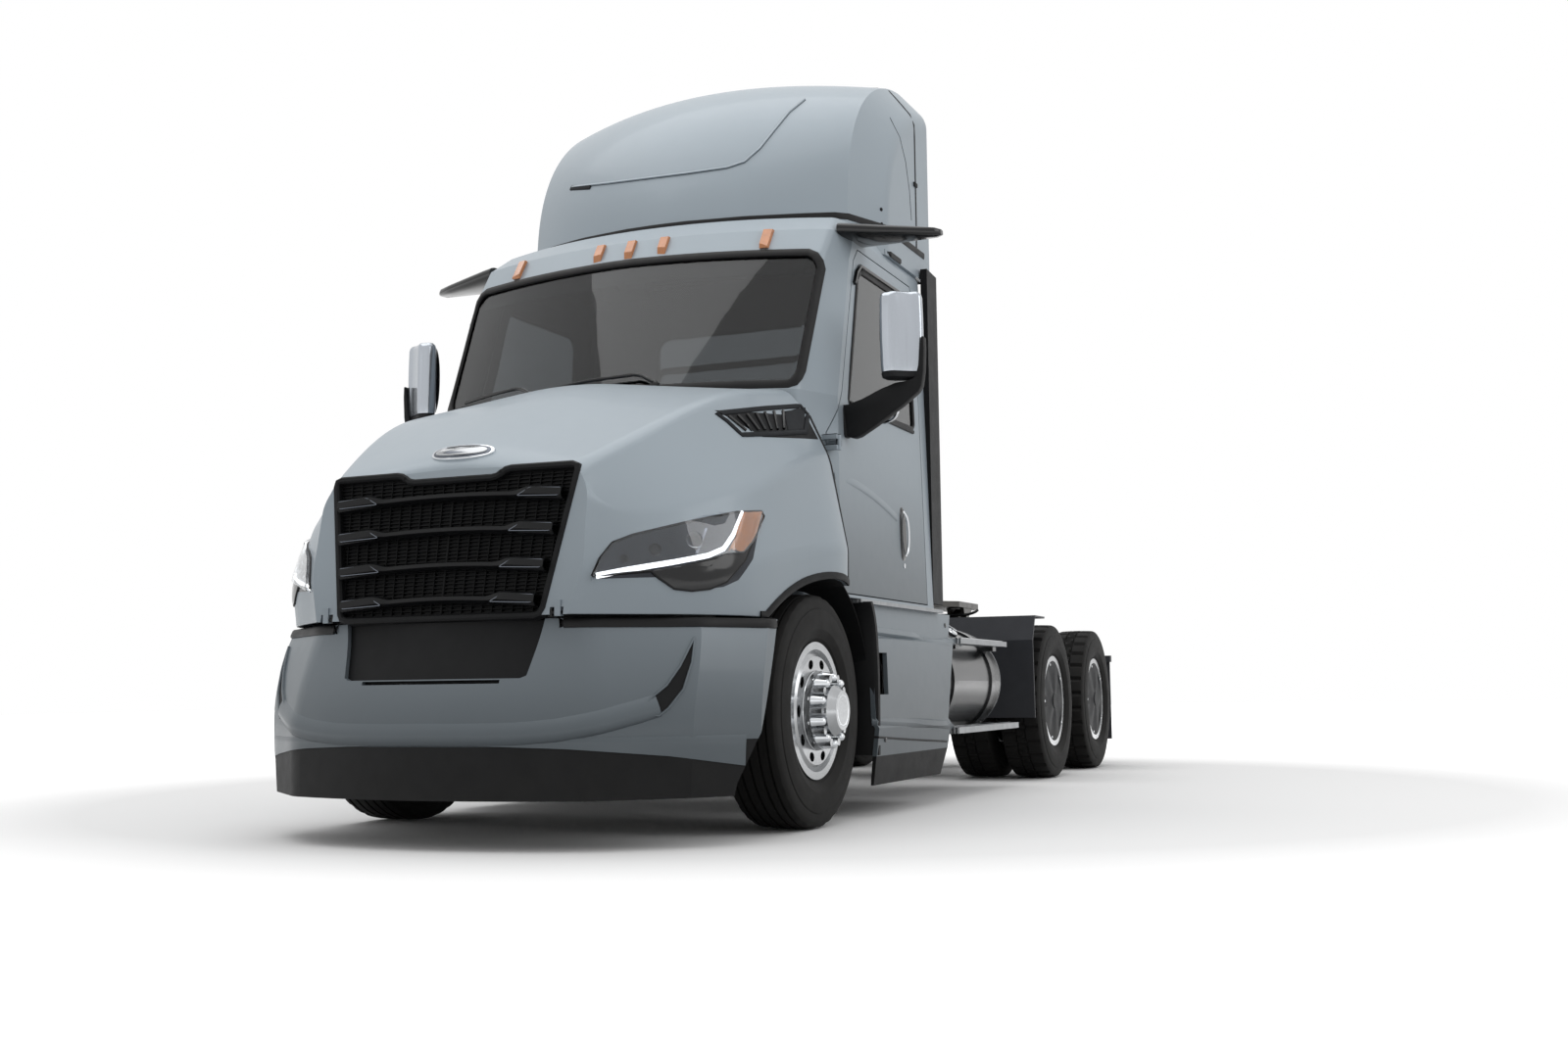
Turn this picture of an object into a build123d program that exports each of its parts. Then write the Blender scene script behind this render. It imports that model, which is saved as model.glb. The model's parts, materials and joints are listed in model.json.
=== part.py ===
from build123d import *
from math import cos, radians, sin, tan
import os

os.makedirs("parts", exist_ok=True)

# Frame: +X is the vehicle's left, +Y its rear, +Z up, the ground at z = 0. Millimetres.
# Distances called "behind" are measured rearwards from the front axle.

# ---------------------------------------------------------------- driving dimensions
wheelbase = 4820  # front axle to the middle of the two drive axles
tandem_spread = 1320
front_overhang = 1338
rear_overhang = 950
tyre_diameter = 1016
tyre_width = 285
bead_diameter = 571
rim_flange_height = 13
steer_tyre_x = 1013  # middle plane of a front tyre
kingpin_x = 880
dual_outer_x = 1082
dual_spacing = 343
rail_outer_width = 865
rail_height = 267
rail_flange = 89
rail_thickness = 12
rail_top_z = 1000
running_gap = 0.3  # between a shaft and its bore
panel_gap = 6  # shut line round a door
panel_wall = 22  # hood, bumper and fairing shells
cab_wall = 60
glass_thickness = 8

axle_z = tyre_diameter / 2
tyre_radius = tyre_diameter / 2
bead_radius = bead_diameter / 2
overall_length = front_overhang + wheelbase + tandem_spread / 2 + rear_overhang
front_axle_y = front_overhang - overall_length / 2
rear_end_y = overall_length / 2
front_end_y = -overall_length / 2
rail_outer_x = rail_outer_width / 2
rail_bottom_z = rail_top_z - rail_height
sides = (1, -1)


def behind(distance):
    return front_axle_y + distance


drive_axle_ys = [behind(wheelbase - tandem_spread / 2), behind(wheelbase + tandem_spread / 2)]


def cross_plane(y):
    """A plane across the vehicle: local x is X, local y is Z."""
    return Plane(origin=(0, y, 0), x_dir=(1, 0, 0), z_dir=(0, -1, 0))


def side_plane(x):
    """A plane along the vehicle: local x is Y, local y is Z."""
    return Plane(origin=(x, 0, 0), x_dir=(0, 1, 0), z_dir=(1, 0, 0))


def wheel_plane(side, x, y):
    """A plane through a wheel's axle: local x points outboard, local y is up."""
    return Plane(origin=(side * x, y, axle_z), x_dir=(side, 0, 0), z_dir=(0, -side, 0))


def finish(part, name):
    part.label = name
    export_step(part, f"parts/{name}.step")


hood_pivot_y = behind(-1199)
hood_pivot_z = 905
hinge_lug_x = 545
hinge_plate_x = hinge_lug_x - 26  # brackets on the rails that hold the hood's pins
hinge_pin_radius = 8
cab_bottom_z = 1030
cab_mount_distances = (560, 1760)

# ---------------------------------------------------------------- body forms
# Each row of a form table is one section of the outside surface.

hood_bottom_z = 897
nose_height = 611
nose_lean = 9.7  # degrees rearwards of upright
hood_rear = 285

# distance behind, bottom x, side x, side z, shoulder x, shoulder z, crown x, crown z, middle z
hood_sections = [
    (-1000, 845, 868, 1060, 775, 1300, 630, 1550, 1618),
    (-800, 1018, 1042, 1080, 936, 1345, 700, 1655, 1740),
    (-500, 1110, 1128, 1130, 1060, 1440, 790, 1805, 1905),
    (-100, 1165, 1176, 1200, 1095, 1580, 870, 1930, 2035),
    (hood_rear, 1178, 1182, 1230, 1100, 1660, 950, 2000, 2100),
]
# along the leaning nose: x, height above the hood's bottom edge
nose_corners = [(590, 0), (640, 180), (630, 500), (575, 596), (0, nose_height + 8)]
hood_radii = (4, 250, 160, 90, 1500)


def hood_form(inset):
    """The hood's outside, or with an inset its inside, open below."""
    lean = radians(nose_lean)
    nose = Plane(
        origin=(0, behind(-1212) + inset, hood_bottom_z),
        x_dir=(1, 0, 0),
        z_dir=(0, -cos(lean), sin(lean)),
    )
    sections = [(nose, nose_corners)]
    for distance, bottom_x, side_x, side_z, shoulder_x, shoulder_z, crown_x, crown_z, middle_z in hood_sections:
        corners = [
            (bottom_x, hood_bottom_z),
            (side_x, side_z),
            (shoulder_x, shoulder_z),
            (crown_x, crown_z),
            (0, middle_z),
        ]
        sections.append((cross_plane(behind(distance)), corners))
    with BuildPart() as form:
        for plane, corners in sections:
            half = [(max(x - inset, 0), z - inset) for x, z in corners]
            half[0] = (half[0][0], corners[0][1] - 3 * inset)
            other = [(-x, z) for x, z in reversed(half) if x > 0]
            radii = list(hood_radii) + list(reversed(hood_radii[:-1]))
            with BuildSketch(plane):
                with BuildLine():
                    FilletPolyline(*half, *other, radius=radii, close=True)
                make_face()
        loft()
    return form.part


# z, middle of the front, screen corner x, screen corner behind, side x, side start behind
cab_sections = [
    (cab_bottom_z, 300, 930, 330, 1088, 440),
    (1985, 50, 960, 235, 1062, 500),
    (2705, 360, 975, 550, 1041, 740),
    (2850, 450, 985, 660, 1034, 830),
    (2950, 590, 950, 800, 990, 960),
]
cab_rear = 1870


def cab_form(inset, floor=0):
    """The cab's outside, or with an inset its inside."""
    top = len(cab_sections) - 1
    with BuildPart() as form:
        for index, (z, front, corner_x, corner, side_x, side_start) in enumerate(cab_sections):
            level = z + (floor if index == 0 else 0) - (inset if index == top else 0)
            corner_at = (corner_x - 0.9 * inset, behind(corner) + inset)
            side_at = (side_x - inset, behind(side_start) + 0.4 * inset)
            rear_at = (side_x - inset, behind(cab_rear) - inset)
            with BuildSketch(Plane.XY.offset(level)) as section:
                with BuildLine() as edge:
                    ThreePointArc((-corner_at[0], corner_at[1]), (0, behind(front) + inset), corner_at)
                    Polyline(corner_at, side_at, rear_at, (-rear_at[0], rear_at[1]))
                    Polyline((-rear_at[0], rear_at[1]), (-side_at[0], side_at[1]), (-corner_at[0], corner_at[1]))
                make_face()
                screen_corners, side_starts, rears = section.vertices().group_by(Axis.Y)
                fillet(screen_corners, radius=60)
                fillet(side_starts, radius=150)
                fillet(rears, radius=35)
        loft(ruled=True)
    return form.part


# Roof fairing: sections on planes that fan out from a line across the cab's rear.
fairing_base_z = 2880
fairing_rear = 2060
fan_y = 2240
fan_z = 2800
# fan angle, reach in the middle, reach at the corner, corner x, side x, where the side bends in
fairing_sections = [
    (0, 1560, 1180, 930, 1040, 900),
    (20, 1552, 1245, 922, 1042, 950),
    (40, 1488, 1285, 910, 1045, 1030),
    (60, 1388, 1268, 895, 1045, 1060),
    (78, 1327, 1247, 885, 1045, 1065),
    (100, 1312, 1240, 880, 1045, 1065),
]


def fairing_form(inset):
    """The roof fairing's outside before its base and back are trimmed, or its inside."""
    with BuildPart() as form:
        for angle, reach, corner_reach, corner_x, side_x, bend_reach in fairing_sections:
            tilt = radians(angle)
            plane = Plane(
                origin=(0, behind(fan_y), fan_z), x_dir=(1, 0, 0), z_dir=(0, -sin(tilt), -cos(tilt))
            )
            corner_at = (corner_x - inset, corner_reach - inset)
            bend_at = (side_x - inset, bend_reach)
            low_at = (side_x - inset, 60)
            with BuildSketch(plane) as section:
                with BuildLine():
                    ThreePointArc((-corner_at[0], corner_at[1]), (0, reach - inset), corner_at)
                    Polyline(corner_at, bend_at, low_at, (-low_at[0], low_at[1]))
                    Polyline((-low_at[0], low_at[1]), (-bend_at[0], bend_at[1]), (-corner_at[0], corner_at[1]))
                make_face()
                lows, bends, corners = section.vertices().group_by(Axis.Y)
                fillet(bends, radius=150)
                fillet(corners, radius=90)
        loft()
    return form.part


# ---------------------------------------------------------------- chassis
with BuildPart() as frame_rails:
    frame_front_y = behind(-1110)
    for side in sides:
        with BuildSketch(cross_plane(frame_front_y)):
            web_x = side * (rail_outer_x - rail_thickness / 2)
            flange_x = side * (rail_outer_x - rail_flange / 2)
            with Locations((web_x, rail_top_z - rail_height / 2)):
                Rectangle(rail_thickness, rail_height)
            with Locations(
                (flange_x, rail_top_z - rail_thickness / 2), (flange_x, rail_bottom_z + rail_thickness / 2)
            ):
                Rectangle(rail_flange, rail_thickness)
        extrude(amount=-(rear_end_y - frame_front_y))
finish(frame_rails.part, "frame_rails")

# distance behind, underside, height, length: between the two rail webs
crossmember_rows = [
    (-1060, 770, 200, 60),
    (-420, 745, 30, 160),
    (-40, 745, 30, 160),
    (1420, 880, 90, 70),
    (2350, 880, 90, 70),
    (3250, 880, 90, 70),
    (3950, 880, 90, 70),
    (4820, 860, 110, 200),
    (5700, 860, 110, 90),
    (wheelbase + tandem_spread / 2 + rear_overhang - 60, rail_bottom_z + 20, rail_height - 40, 60),
]
crossmember_span = 2 * (rail_outer_x - rail_thickness)
with BuildPart() as crossmember_set:
    for distance, underside, height, length in crossmember_rows:
        with Locations((0, behind(distance), underside + height / 2)):
            Box(crossmember_span, length, height)
    for side in sides:
        for distance in cab_mount_distances:
            with Locations((side * (rail_outer_x - 44), behind(distance), rail_top_z)):
                Box(88, 160, cab_bottom_z - rail_top_z, align=(Align.CENTER, Align.CENTER, Align.MIN))
        with Locations((side * (rail_outer_x + hinge_plate_x) / 2, behind(-1115), 905)):
            Box(hinge_plate_x - rail_outer_x, 110, 32)
        with Locations((side * (hinge_plate_x - 4), behind(-1140), hood_pivot_z)):
            Box(8, 136, 30)
        with Locations((side * (hinge_plate_x + 16), hood_pivot_y, hood_pivot_z)):
            Cylinder(hinge_pin_radius, 44, rotation=(0, 90, 0))

engine_half_width = 330
engine_bottom_z = 775
with BuildPart() as engine_block:
    with Locations((0, behind(-350), engine_bottom_z)):
        Box(2 * engine_half_width, 900, 690, align=(Align.CENTER, Align.CENTER, Align.MIN))
finish(engine_block.part, "engine_block")

radiator_y = behind(-980)
with BuildPart() as radiator:
    with Locations((0, radiator_y, rail_top_z)):
        Box(800, 90, 440, align=(Align.CENTER, Align.CENTER, Align.MIN))
    with Locations((0, radiator_y, 800)):
        Box(2 * (rail_outer_x - rail_flange) - 10, 50, 200.5, align=(Align.CENTER, Align.CENTER, Align.MIN))
finish(radiator.part, "radiator")

def side_outline(points, grow, x=0):
    """A face in the side view at x, from (behind, z) points, grown outwards."""
    with BuildSketch(Plane.YZ.offset(x)) as shape:
        with BuildLine():
            Polyline(*[(behind(y), z) for y, z in points], close=True)
        make_face()
        if grow:
            offset(amount=grow, kind=Kind.INTERSECTION)
    return shape.sketch


# ---------------------------------------------------------------- bumper and air dam
# z, middle of the front, corner x, corner behind, flank x, flank behind, side x
bumper_sections = [
    (410, -1322, 700, -1205, 1000, -965, 1172),
    (490, -1325, 700, -1205, 1004, -965, 1174),
    (640, -1288, 690, -1175, 1010, -940, 1174),
    (885, -1218, 640, -1125, 985, -860, 1165),
]
dam_sections = [
    (190, -1338, 690, -1215, 985, -960, 1165),
    (409.7, -1322, 700, -1205, 1000, -965, 1171),
]
bumper_rear = -480


def bumper_form(rows, inset, low=0, high=0):
    with BuildPart() as form:
        for index, (z, front, corner_x, corner, flank_x, flank, side_x) in enumerate(rows):
            level = z - (low if index == 0 else 0) + (high if index == len(rows) - 1 else 0)
            corner_at = (corner_x - 0.3 * inset, behind(corner) + inset)
            flank_at = (flank_x - 0.7 * inset, behind(flank) + 0.7 * inset)
            rear_at = (side_x - inset, behind(bumper_rear))
            side_at = (side_x - inset, behind(flank + 260))
            with BuildSketch(Plane.XY.offset(level)) as section:
                with BuildLine():
                    ThreePointArc((-corner_at[0], corner_at[1]), (0, behind(front) + inset), corner_at)
                    Polyline(corner_at, flank_at, side_at, rear_at, (-rear_at[0], rear_at[1]))
                    Polyline(
                        (-rear_at[0], rear_at[1]),
                        (-side_at[0], side_at[1]),
                        (-flank_at[0], flank_at[1]),
                        (-corner_at[0], corner_at[1]),
                    )
                make_face()
                groups = section.vertices().group_by(Axis.Y)
                fillet(groups[0], radius=250)
                fillet(groups[1], radius=200)
                fillet(groups[2], radius=150)
        loft()
    return form.part


bumper_outside = bumper_form(bumper_sections, 0)
bumper_inside = bumper_form(bumper_sections, panel_wall, low=10, high=10)
dam_outside = bumper_form(dam_sections, 0)
dam_inside = bumper_form(dam_sections, panel_wall, low=10, high=10)

# side outline of the wheel opening's front edge: behind, z
bumper_side_edge = [(-480, 0), (-800, 180), (-790, 240), (-660, 540), (-505, 900), (-470, 960)]
intake_outline = [(470, 905), (425, 665), (400, 655)]
slot_z = 643

with BuildPart() as front_bumper:
    add(bumper_outside)
    add(bumper_inside, mode=Mode.SUBTRACT)
    with BuildSketch(side_plane(0)):
        with BuildLine():
            Polyline(*[(behind(y), z) for y, z in bumper_side_edge], (behind(100), 960), (behind(100), 0), close=True)
        make_face()
    extrude(amount=1300, both=True, mode=Mode.SUBTRACT)
    with BuildSketch(cross_plane(behind(-1400))):
        with BuildLine():
            Polyline(*intake_outline, *[(-x, z) for x, z in reversed(intake_outline)], close=True)
        make_face()
        with Locations((0, slot_z)):
            Rectangle(640, 14)
    extrude(amount=-500, mode=Mode.SUBTRACT)
finish(front_bumper.part, "front_bumper")

# brackets from the rails' front ends down and forward to the bumper's back
bumper_bracket = [(-1110.3, 940), (-1110.3, 560), (-1160, 480), (-1400, 480), (-1400, 600), (-1130, 600), (-1130, 940)]
with BuildPart() as bumper_brackets:
    for side in sides:
        extrude(side_outline(bumper_bracket, 0, side * 380), amount=side * 36)
    add(bumper_form(bumper_sections, panel_wall + 1, high=300), mode=Mode.INTERSECT)
with BuildPart() as crossmembers:
    add(crossmember_set.part)
    add(bumper_brackets.part)
finish(crossmembers.part, "crossmembers")

with BuildPart() as lower_intake:
    add(bumper_form(bumper_sections, panel_wall + running_gap, low=10))
    add(bumper_form(bumper_sections, 2 * panel_wall, low=20, high=10), mode=Mode.SUBTRACT)
    with BuildSketch(cross_plane(behind(-1400))):
        with BuildLine():
            Polyline((520, 880), (470, 640), (-470, 640), (-520, 880), close=True)
        make_face()
    extrude(amount=-500, mode=Mode.INTERSECT)

with BuildPart() as air_dam:
    add(dam_outside)
    add(dam_inside, mode=Mode.SUBTRACT)
    with BuildSketch(side_plane(0)):
        with BuildLine():
            Polyline(*[(behind(y), z) for y, z in bumper_side_edge], (behind(100), 960), (behind(100), 0), close=True)
        make_face()
    extrude(amount=1300, both=True, mode=Mode.SUBTRACT)
    add(lower_intake.part)
finish(air_dam.part, "air_dam")

# ---------------------------------------------------------------- cab
cab_outside = cab_form(0)
cab_inside = cab_form(cab_wall, floor=60)

screen_outline = [(935, 2005), (960, 2060), (975, 2640), (930, 2700), (0, 2715)]
rear_window_width = 1150
rear_window_height = 420
rear_window_z = 2250
door_outline = [(420, 1050), (420, 1800), (560, 2010), (810, 2720), (880, 2790), (1700, 2790), (1760, 2730), (1760, 1050)]
door_prism_x = 900
door_prism_length = 300
door_window = [(640, 1975), (850, 2640), (900, 2690), (1600, 2690), (1655, 2640), (1655, 1990)]


def screen_face(grow):
    with BuildSketch(cross_plane(behind(-200))) as shape:
        with BuildLine():
            Polyline(*screen_outline, *[(-x, z) for x, z in reversed(screen_outline[:-1])], close=True)
        make_face()
        if grow:
            offset(amount=grow, kind=Kind.INTERSECTION)
    return shape.sketch


# Door hinges: pins stand on the cab and pass through barrels on the doors.
door_hinge_x = 1094
door_hinge_behind = 424
door_hinge_heights = (1250, 1750)
barrel_radius = 11
barrel_half = 14
door_pin_radius = 5
leaf_inner_x = 1020
leaf_width = door_hinge_x - leaf_inner_x


def door_hinge_places(side):
    return [(side * door_hinge_x, behind(door_hinge_behind), height) for height in door_hinge_heights]


with BuildPart() as cab_shell:
    add(cab_outside)
    add(cab_inside, mode=Mode.SUBTRACT)
    extrude(screen_face(0), amount=-950, mode=Mode.SUBTRACT)
    for side in sides:
        door_hole = side_outline(door_outline, panel_gap, side * door_prism_x)
        extrude(door_hole, amount=side * door_prism_length, mode=Mode.SUBTRACT)
    with BuildSketch(cross_plane(behind(cab_rear - 200))):
        with Locations((0, rear_window_z + rear_window_height / 2)):
            RectangleRounded(rear_window_width, rear_window_height, 60)
    extrude(amount=-400, mode=Mode.SUBTRACT)
    for side in sides:
        for x, y, height in door_hinge_places(side):
            with Locations((x, y, height)):
                Cylinder(door_pin_radius, 5 * barrel_half)
            for direction in sides:
                ear_z = height + direction * (1.75 * barrel_half + running_gap)
                with Locations((x, y, ear_z)):
                    Cylinder(barrel_radius, 1.5 * barrel_half)
                with Locations((x - side * leaf_width / 2, y - 18.5, ear_z)):
                    Box(leaf_width, 28, 1.5 * barrel_half)
finish(cab_shell.part, "cab_shell")

glass_outside = cab_form(4)
glass_inside = cab_form(4 + glass_thickness)

with BuildPart() as cab_glass:
    add(glass_outside)
    add(glass_inside, mode=Mode.SUBTRACT)
    extrude(screen_face(-running_gap), amount=-950, mode=Mode.INTERSECT)
    with BuildSketch(cross_plane(behind(cab_rear - 30))):
        with Locations((0, rear_window_z + rear_window_height / 2)):
            RectangleRounded(rear_window_width - 2 * running_gap, rear_window_height - 2 * running_gap, 60)
    extrude(amount=-glass_thickness)
finish(cab_glass.part, "cab_glass")

# ---------------------------------------------------------------- doors, their glass and mirrors
mirror_head = (1357, 590, 2281)  # x, behind, z
mirror_head_size = (202, 92, 392)
# the arm, seen from the front: x, z
mirror_arm = [
    (1015, 1960), (1010, 1840), (1098, 1787), (1158, 1801), (1430, 1977), (1458, 2030),
    (1466, 2240), (1452, 2240), (1430, 2084.8), (1290, 2084.8), (1290, 2040), (1100, 1950),
]
mirror_turn = 30  # degrees that the outer edge is turned to the rear

for side, side_name in zip(sides, ("left", "right")):
    half = extrude(side_outline(door_outline, 0, side * door_prism_x), amount=side * door_prism_length)
    pane_face = side_outline(door_window, -running_gap, side * door_prism_x)
    pane = extrude(pane_face, amount=side * door_prism_length)
    with BuildPart() as door:
        add(cab_outside)
        add(cab_inside, mode=Mode.SUBTRACT)
        add(half, mode=Mode.INTERSECT)
        window_hole = side_outline(door_window, 0, side * door_prism_x)
        extrude(window_hole, amount=side * door_prism_length, mode=Mode.SUBTRACT)
        for x, y, height in door_hinge_places(side):
            with Locations((x - side * leaf_width / 2, y + 18.5, height)):
                Box(leaf_width, 28, 2 * barrel_half)
            with Locations((x, y, height)):
                Cylinder(barrel_radius, 2 * barrel_half)
                Cylinder(door_pin_radius + running_gap, 4 * barrel_half, mode=Mode.SUBTRACT)
    finish(door.part, f"door_{side_name}")

    with BuildPart() as door_glass:
        add(glass_outside)
        add(glass_inside, mode=Mode.SUBTRACT)
        add(pane, mode=Mode.INTERSECT)
    finish(door_glass.part, f"door_glass_{side_name}")

    with BuildPart() as mirror:
        with BuildSketch(Plane.XY.offset(mirror_head[2] - mirror_head_size[2] / 2)):
            with Locations(Location((side * mirror_head[0], behind(mirror_head[1]), 0), (0, 0, side * mirror_turn))):
                RectangleRounded(mirror_head_size[0], mirror_head_size[1], 38)
        extrude(amount=mirror_head_size[2])
        with BuildSketch(cross_plane(behind(mirror_head[1] - 20))):
            with BuildLine():
                Polyline([(side * x, z) for x, z in mirror_arm], close=True)
            make_face()
        extrude(amount=-50)
        add(cab_outside, mode=Mode.SUBTRACT)
    finish(mirror.part, f"mirror_{side_name}")

# ---------------------------------------------------------------- roof
with BuildPart() as roof_fairing:
    add(fairing_form(0))
    add(fairing_form(panel_wall), mode=Mode.SUBTRACT)
    with Locations((0, behind(fairing_rear), fairing_base_z)):
        Box(3000, 1800, 3000, align=(Align.CENTER, Align.MAX, Align.MIN), mode=Mode.INTERSECT)
    add(cab_form(-running_gap), mode=Mode.SUBTRACT)
finish(roof_fairing.part, "roof_fairing")

extender_rear = 2090
with BuildPart() as cab_extenders:
    for side in sides:
        with BuildSketch(Plane.XY.offset(1060)):
            with BuildLine():
                Polyline(
                    (side * 1088, behind(cab_rear) + running_gap),
                    (side * 1075, behind(extender_rear)),
                    (side * 1055, behind(extender_rear)),
                    (side * 1050, behind(cab_rear) + running_gap),
                    close=True,
                )
            make_face()
        extrude(amount=2930 - 1060)
finish(cab_extenders.part, "cab_extenders")

# x from the middle, distance behind, z
lamp_places = [(0, 440), (180, 450), (-180, 450), (700, 520), (-700, 520)]
lamp_z = 2795
with BuildPart() as marker_lamps:
    for x, distance in lamp_places:
        with Locations((x, behind(distance), lamp_z)):
            Box(42, 110, 110)
    add(cab_form(-22), mode=Mode.INTERSECT)
    add(cab_outside, mode=Mode.SUBTRACT)
finish(marker_lamps.part, "marker_lamps")

camera_arm_z = 2828
with BuildPart() as mirror_cameras:
    for side in sides:
        with BuildSketch(Plane.XY.offset(camera_arm_z)):
            with BuildLine():
                Polyline(
                    (side * 1000, behind(700)),
                    (side * 1120, behind(720)),
                    (side * 1440, behind(860)),
                    (side * 1471, behind(918)),
                    (side * 1440, behind(950)),
                    (side * 1120, behind(900)),
                    (side * 1000, behind(1000)),
                    close=True,
                )
            make_face()
        extrude(amount=34)
    add(cab_outside, mode=Mode.SUBTRACT)
finish(mirror_cameras.part, "mirror_cameras")

# ---------------------------------------------------------------- hood
hood_outside = hood_form(0)
hood_inside = hood_form(panel_wall)
cab_clear = cab_form(-15, floor=-300)

# in the nose plane: x, height above the hood's bottom edge
grille_outline = [(470, 0), (580, 600), (250, 612), (215, 578), (0, 578)]
nose_tilt = radians(nose_lean)
nose_plane = Plane(
    origin=(0, behind(-1212), hood_bottom_z),
    x_dir=(1, 0, 0),
    z_dir=(0, -cos(nose_tilt), sin(nose_tilt)),
)
# local x runs outboard and rearwards along the corner, local y is Z
lamp_turn = 53.6


def corner_plane(side):
    turn = radians(lamp_turn)
    return Plane(
        origin=(side * 645, behind(-1121), 0),
        x_dir=(side * cos(turn), sin(turn), 0),
        z_dir=(sin(turn), -side * cos(turn), 0),
    )


headlamp_outline = [
    (-14, 1040), (34, 1115), (88, 1175), (177, 1213), (398, 1269), (641, 1324), (745, 1334), (768, 1316),
    (728, 1226), (681, 1128), (593, 1038), (516, 1008), (436, 998), (357, 1006), (288, 1042), (5, 1032),
]
vent_outline = [(-420, 1790), (240, 1850), (240, 1740), (-230, 1690)]


def headlamp_face(side, grow):
    with BuildSketch(corner_plane(side)) as shape:
        with BuildLine():
            Polyline(*[(u, z) for u, z in headlamp_outline], close=True)
        make_face()
        if grow:
            offset(amount=grow, kind=Kind.INTERSECTION)
    return shape.sketch


def grille_face(grow):
    with BuildSketch(nose_plane) as shape:
        with BuildLine():
            Polyline(*grille_outline, *[(-x, z) for x, z in reversed(grille_outline[:-1])], close=True)
        make_face()
        if grow:
            offset(amount=grow, kind=Kind.INTERSECTION)
    return shape.sketch


lamp_prisms = [extrude(headlamp_face(side, 0), amount=400, both=True) for side in sides]
lamp_cores = [extrude(headlamp_face(side, -running_gap), amount=400, both=True) for side in sides]
vent_prisms = [extrude(side_outline(vent_outline, 0), amount=side * 1300) for side in sides]
vent_cores = [extrude(side_outline(vent_outline, -running_gap), amount=side * 1300) for side in sides]

with BuildPart() as hood:
    add(hood_outside)
    add(hood_inside, mode=Mode.SUBTRACT)
    with Locations((0, behind(hood_rear - 10), 1500)):
        Box(2200, 400, 1400, align=(Align.CENTER, Align.MIN, Align.CENTER), mode=Mode.SUBTRACT)
    add(cab_clear, mode=Mode.SUBTRACT)
    extrude(grille_face(0), amount=-200, both=True, mode=Mode.SUBTRACT)
    add(lamp_prisms, mode=Mode.SUBTRACT)
    add(vent_prisms, mode=Mode.SUBTRACT)
    with BuildSketch(Plane.YZ):
        with BuildLine():
            ThreePointArc((behind(-500), 890), (behind(-60), 1075), (behind(400), 1035))
            Polyline((behind(400), 1035), (behind(400), 700), (behind(-500), 700), (behind(-500), 890))
        make_face()
    extrude(amount=1300, both=True, mode=Mode.SUBTRACT)
    for side in sides:
        with Locations((side * (hinge_lug_x - 5), hood_pivot_y, hood_pivot_z)):
            Box(60, 60, 42, mode=Mode.SUBTRACT)
        with Locations((side * hinge_lug_x, hood_pivot_y, hood_pivot_z - 14)):
            Box(26, 26, 62, align=(Align.CENTER, Align.CENTER, Align.MIN))
        with Locations((side * hinge_lug_x, hood_pivot_y, hood_pivot_z)):
            Cylinder(hinge_pin_radius + running_gap, 80, rotation=(0, 90, 0), mode=Mode.SUBTRACT)
finish(hood.part, "hood")

with BuildPart() as headlamps:
    add(hood_outside)
    add(hood_inside, mode=Mode.SUBTRACT)
    add(lamp_cores[0] + lamp_cores[1], mode=Mode.INTERSECT)
finish(headlamps.part, "headlamps")

with BuildPart() as hood_vents:
    add(hood_outside)
    add(hood_inside, mode=Mode.SUBTRACT)
    add(vent_cores[0] + vent_cores[1], mode=Mode.INTERSECT)
finish(hood_vents.part, "hood_vents")

# height of each bar above the hood's bottom edge, its half width there
grille_bars = [(62, 455), (200, 482), (345, 508), (487, 532)]
bar_height = 58
bar_bow = 26  # how far a bar's ends stand lower than its middle
with BuildPart() as grille:
    extrude(grille_face(-running_gap), amount=-30)
    extrude(grille_face(-28), amount=-30, mode=Mode.SUBTRACT)
    extrude(grille_face(-10), amount=-12, dir=nose_plane.z_dir)
    with BuildSketch(nose_plane.offset(-14)):
        for height, half in grille_bars:
            with BuildLine():
                ThreePointArc((-half, height - bar_bow), (0, height), (half, height - bar_bow))
                Line((half, height - bar_bow), (half, height - bar_bow + bar_height))
                ThreePointArc((half, height - bar_bow + bar_height), (0, height + bar_height), (-half, height - bar_bow + bar_height))
                Line((-half, height - bar_bow + bar_height), (-half, height - bar_bow))
            make_face()
    extrude(amount=30)
finish(grille.part, "grille")

# ---------------------------------------------------------------- cab interior
floor_z = cab_bottom_z + cab_wall
seat_x = 560
wheel_centre = (seat_x, 800, 1870)
wheel_lean = radians(40)
steering_plane = Plane(
    origin=(wheel_centre[0], behind(wheel_centre[1]), wheel_centre[2]),
    x_dir=(1, 0, 0),
    z_dir=(0, cos(wheel_lean), sin(wheel_lean)),
)
dash_half_width = 915  # inside the doors' swing
with BuildPart() as dashboard:
    with BuildSketch(Plane.YZ.offset(-dash_half_width)):
        with BuildLine():
            Polyline(
                (behind(400), 1300), (behind(400), 1700), (behind(250), 1900), (behind(420), 1985),
                (behind(560), 1930), (behind(640), 1760), (behind(600), 1560), (behind(480), 1500),
                (behind(480), 1300), close=True,
            )
        make_face()
    extrude(amount=2 * dash_half_width)
    with BuildSketch(steering_plane.offset(-25 - running_gap)):
        Circle(38)
    extrude(amount=-380)
    add(cab_form(cab_wall + running_gap, floor=cab_wall), mode=Mode.INTERSECT)
finish(dashboard.part, "dashboard")

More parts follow.
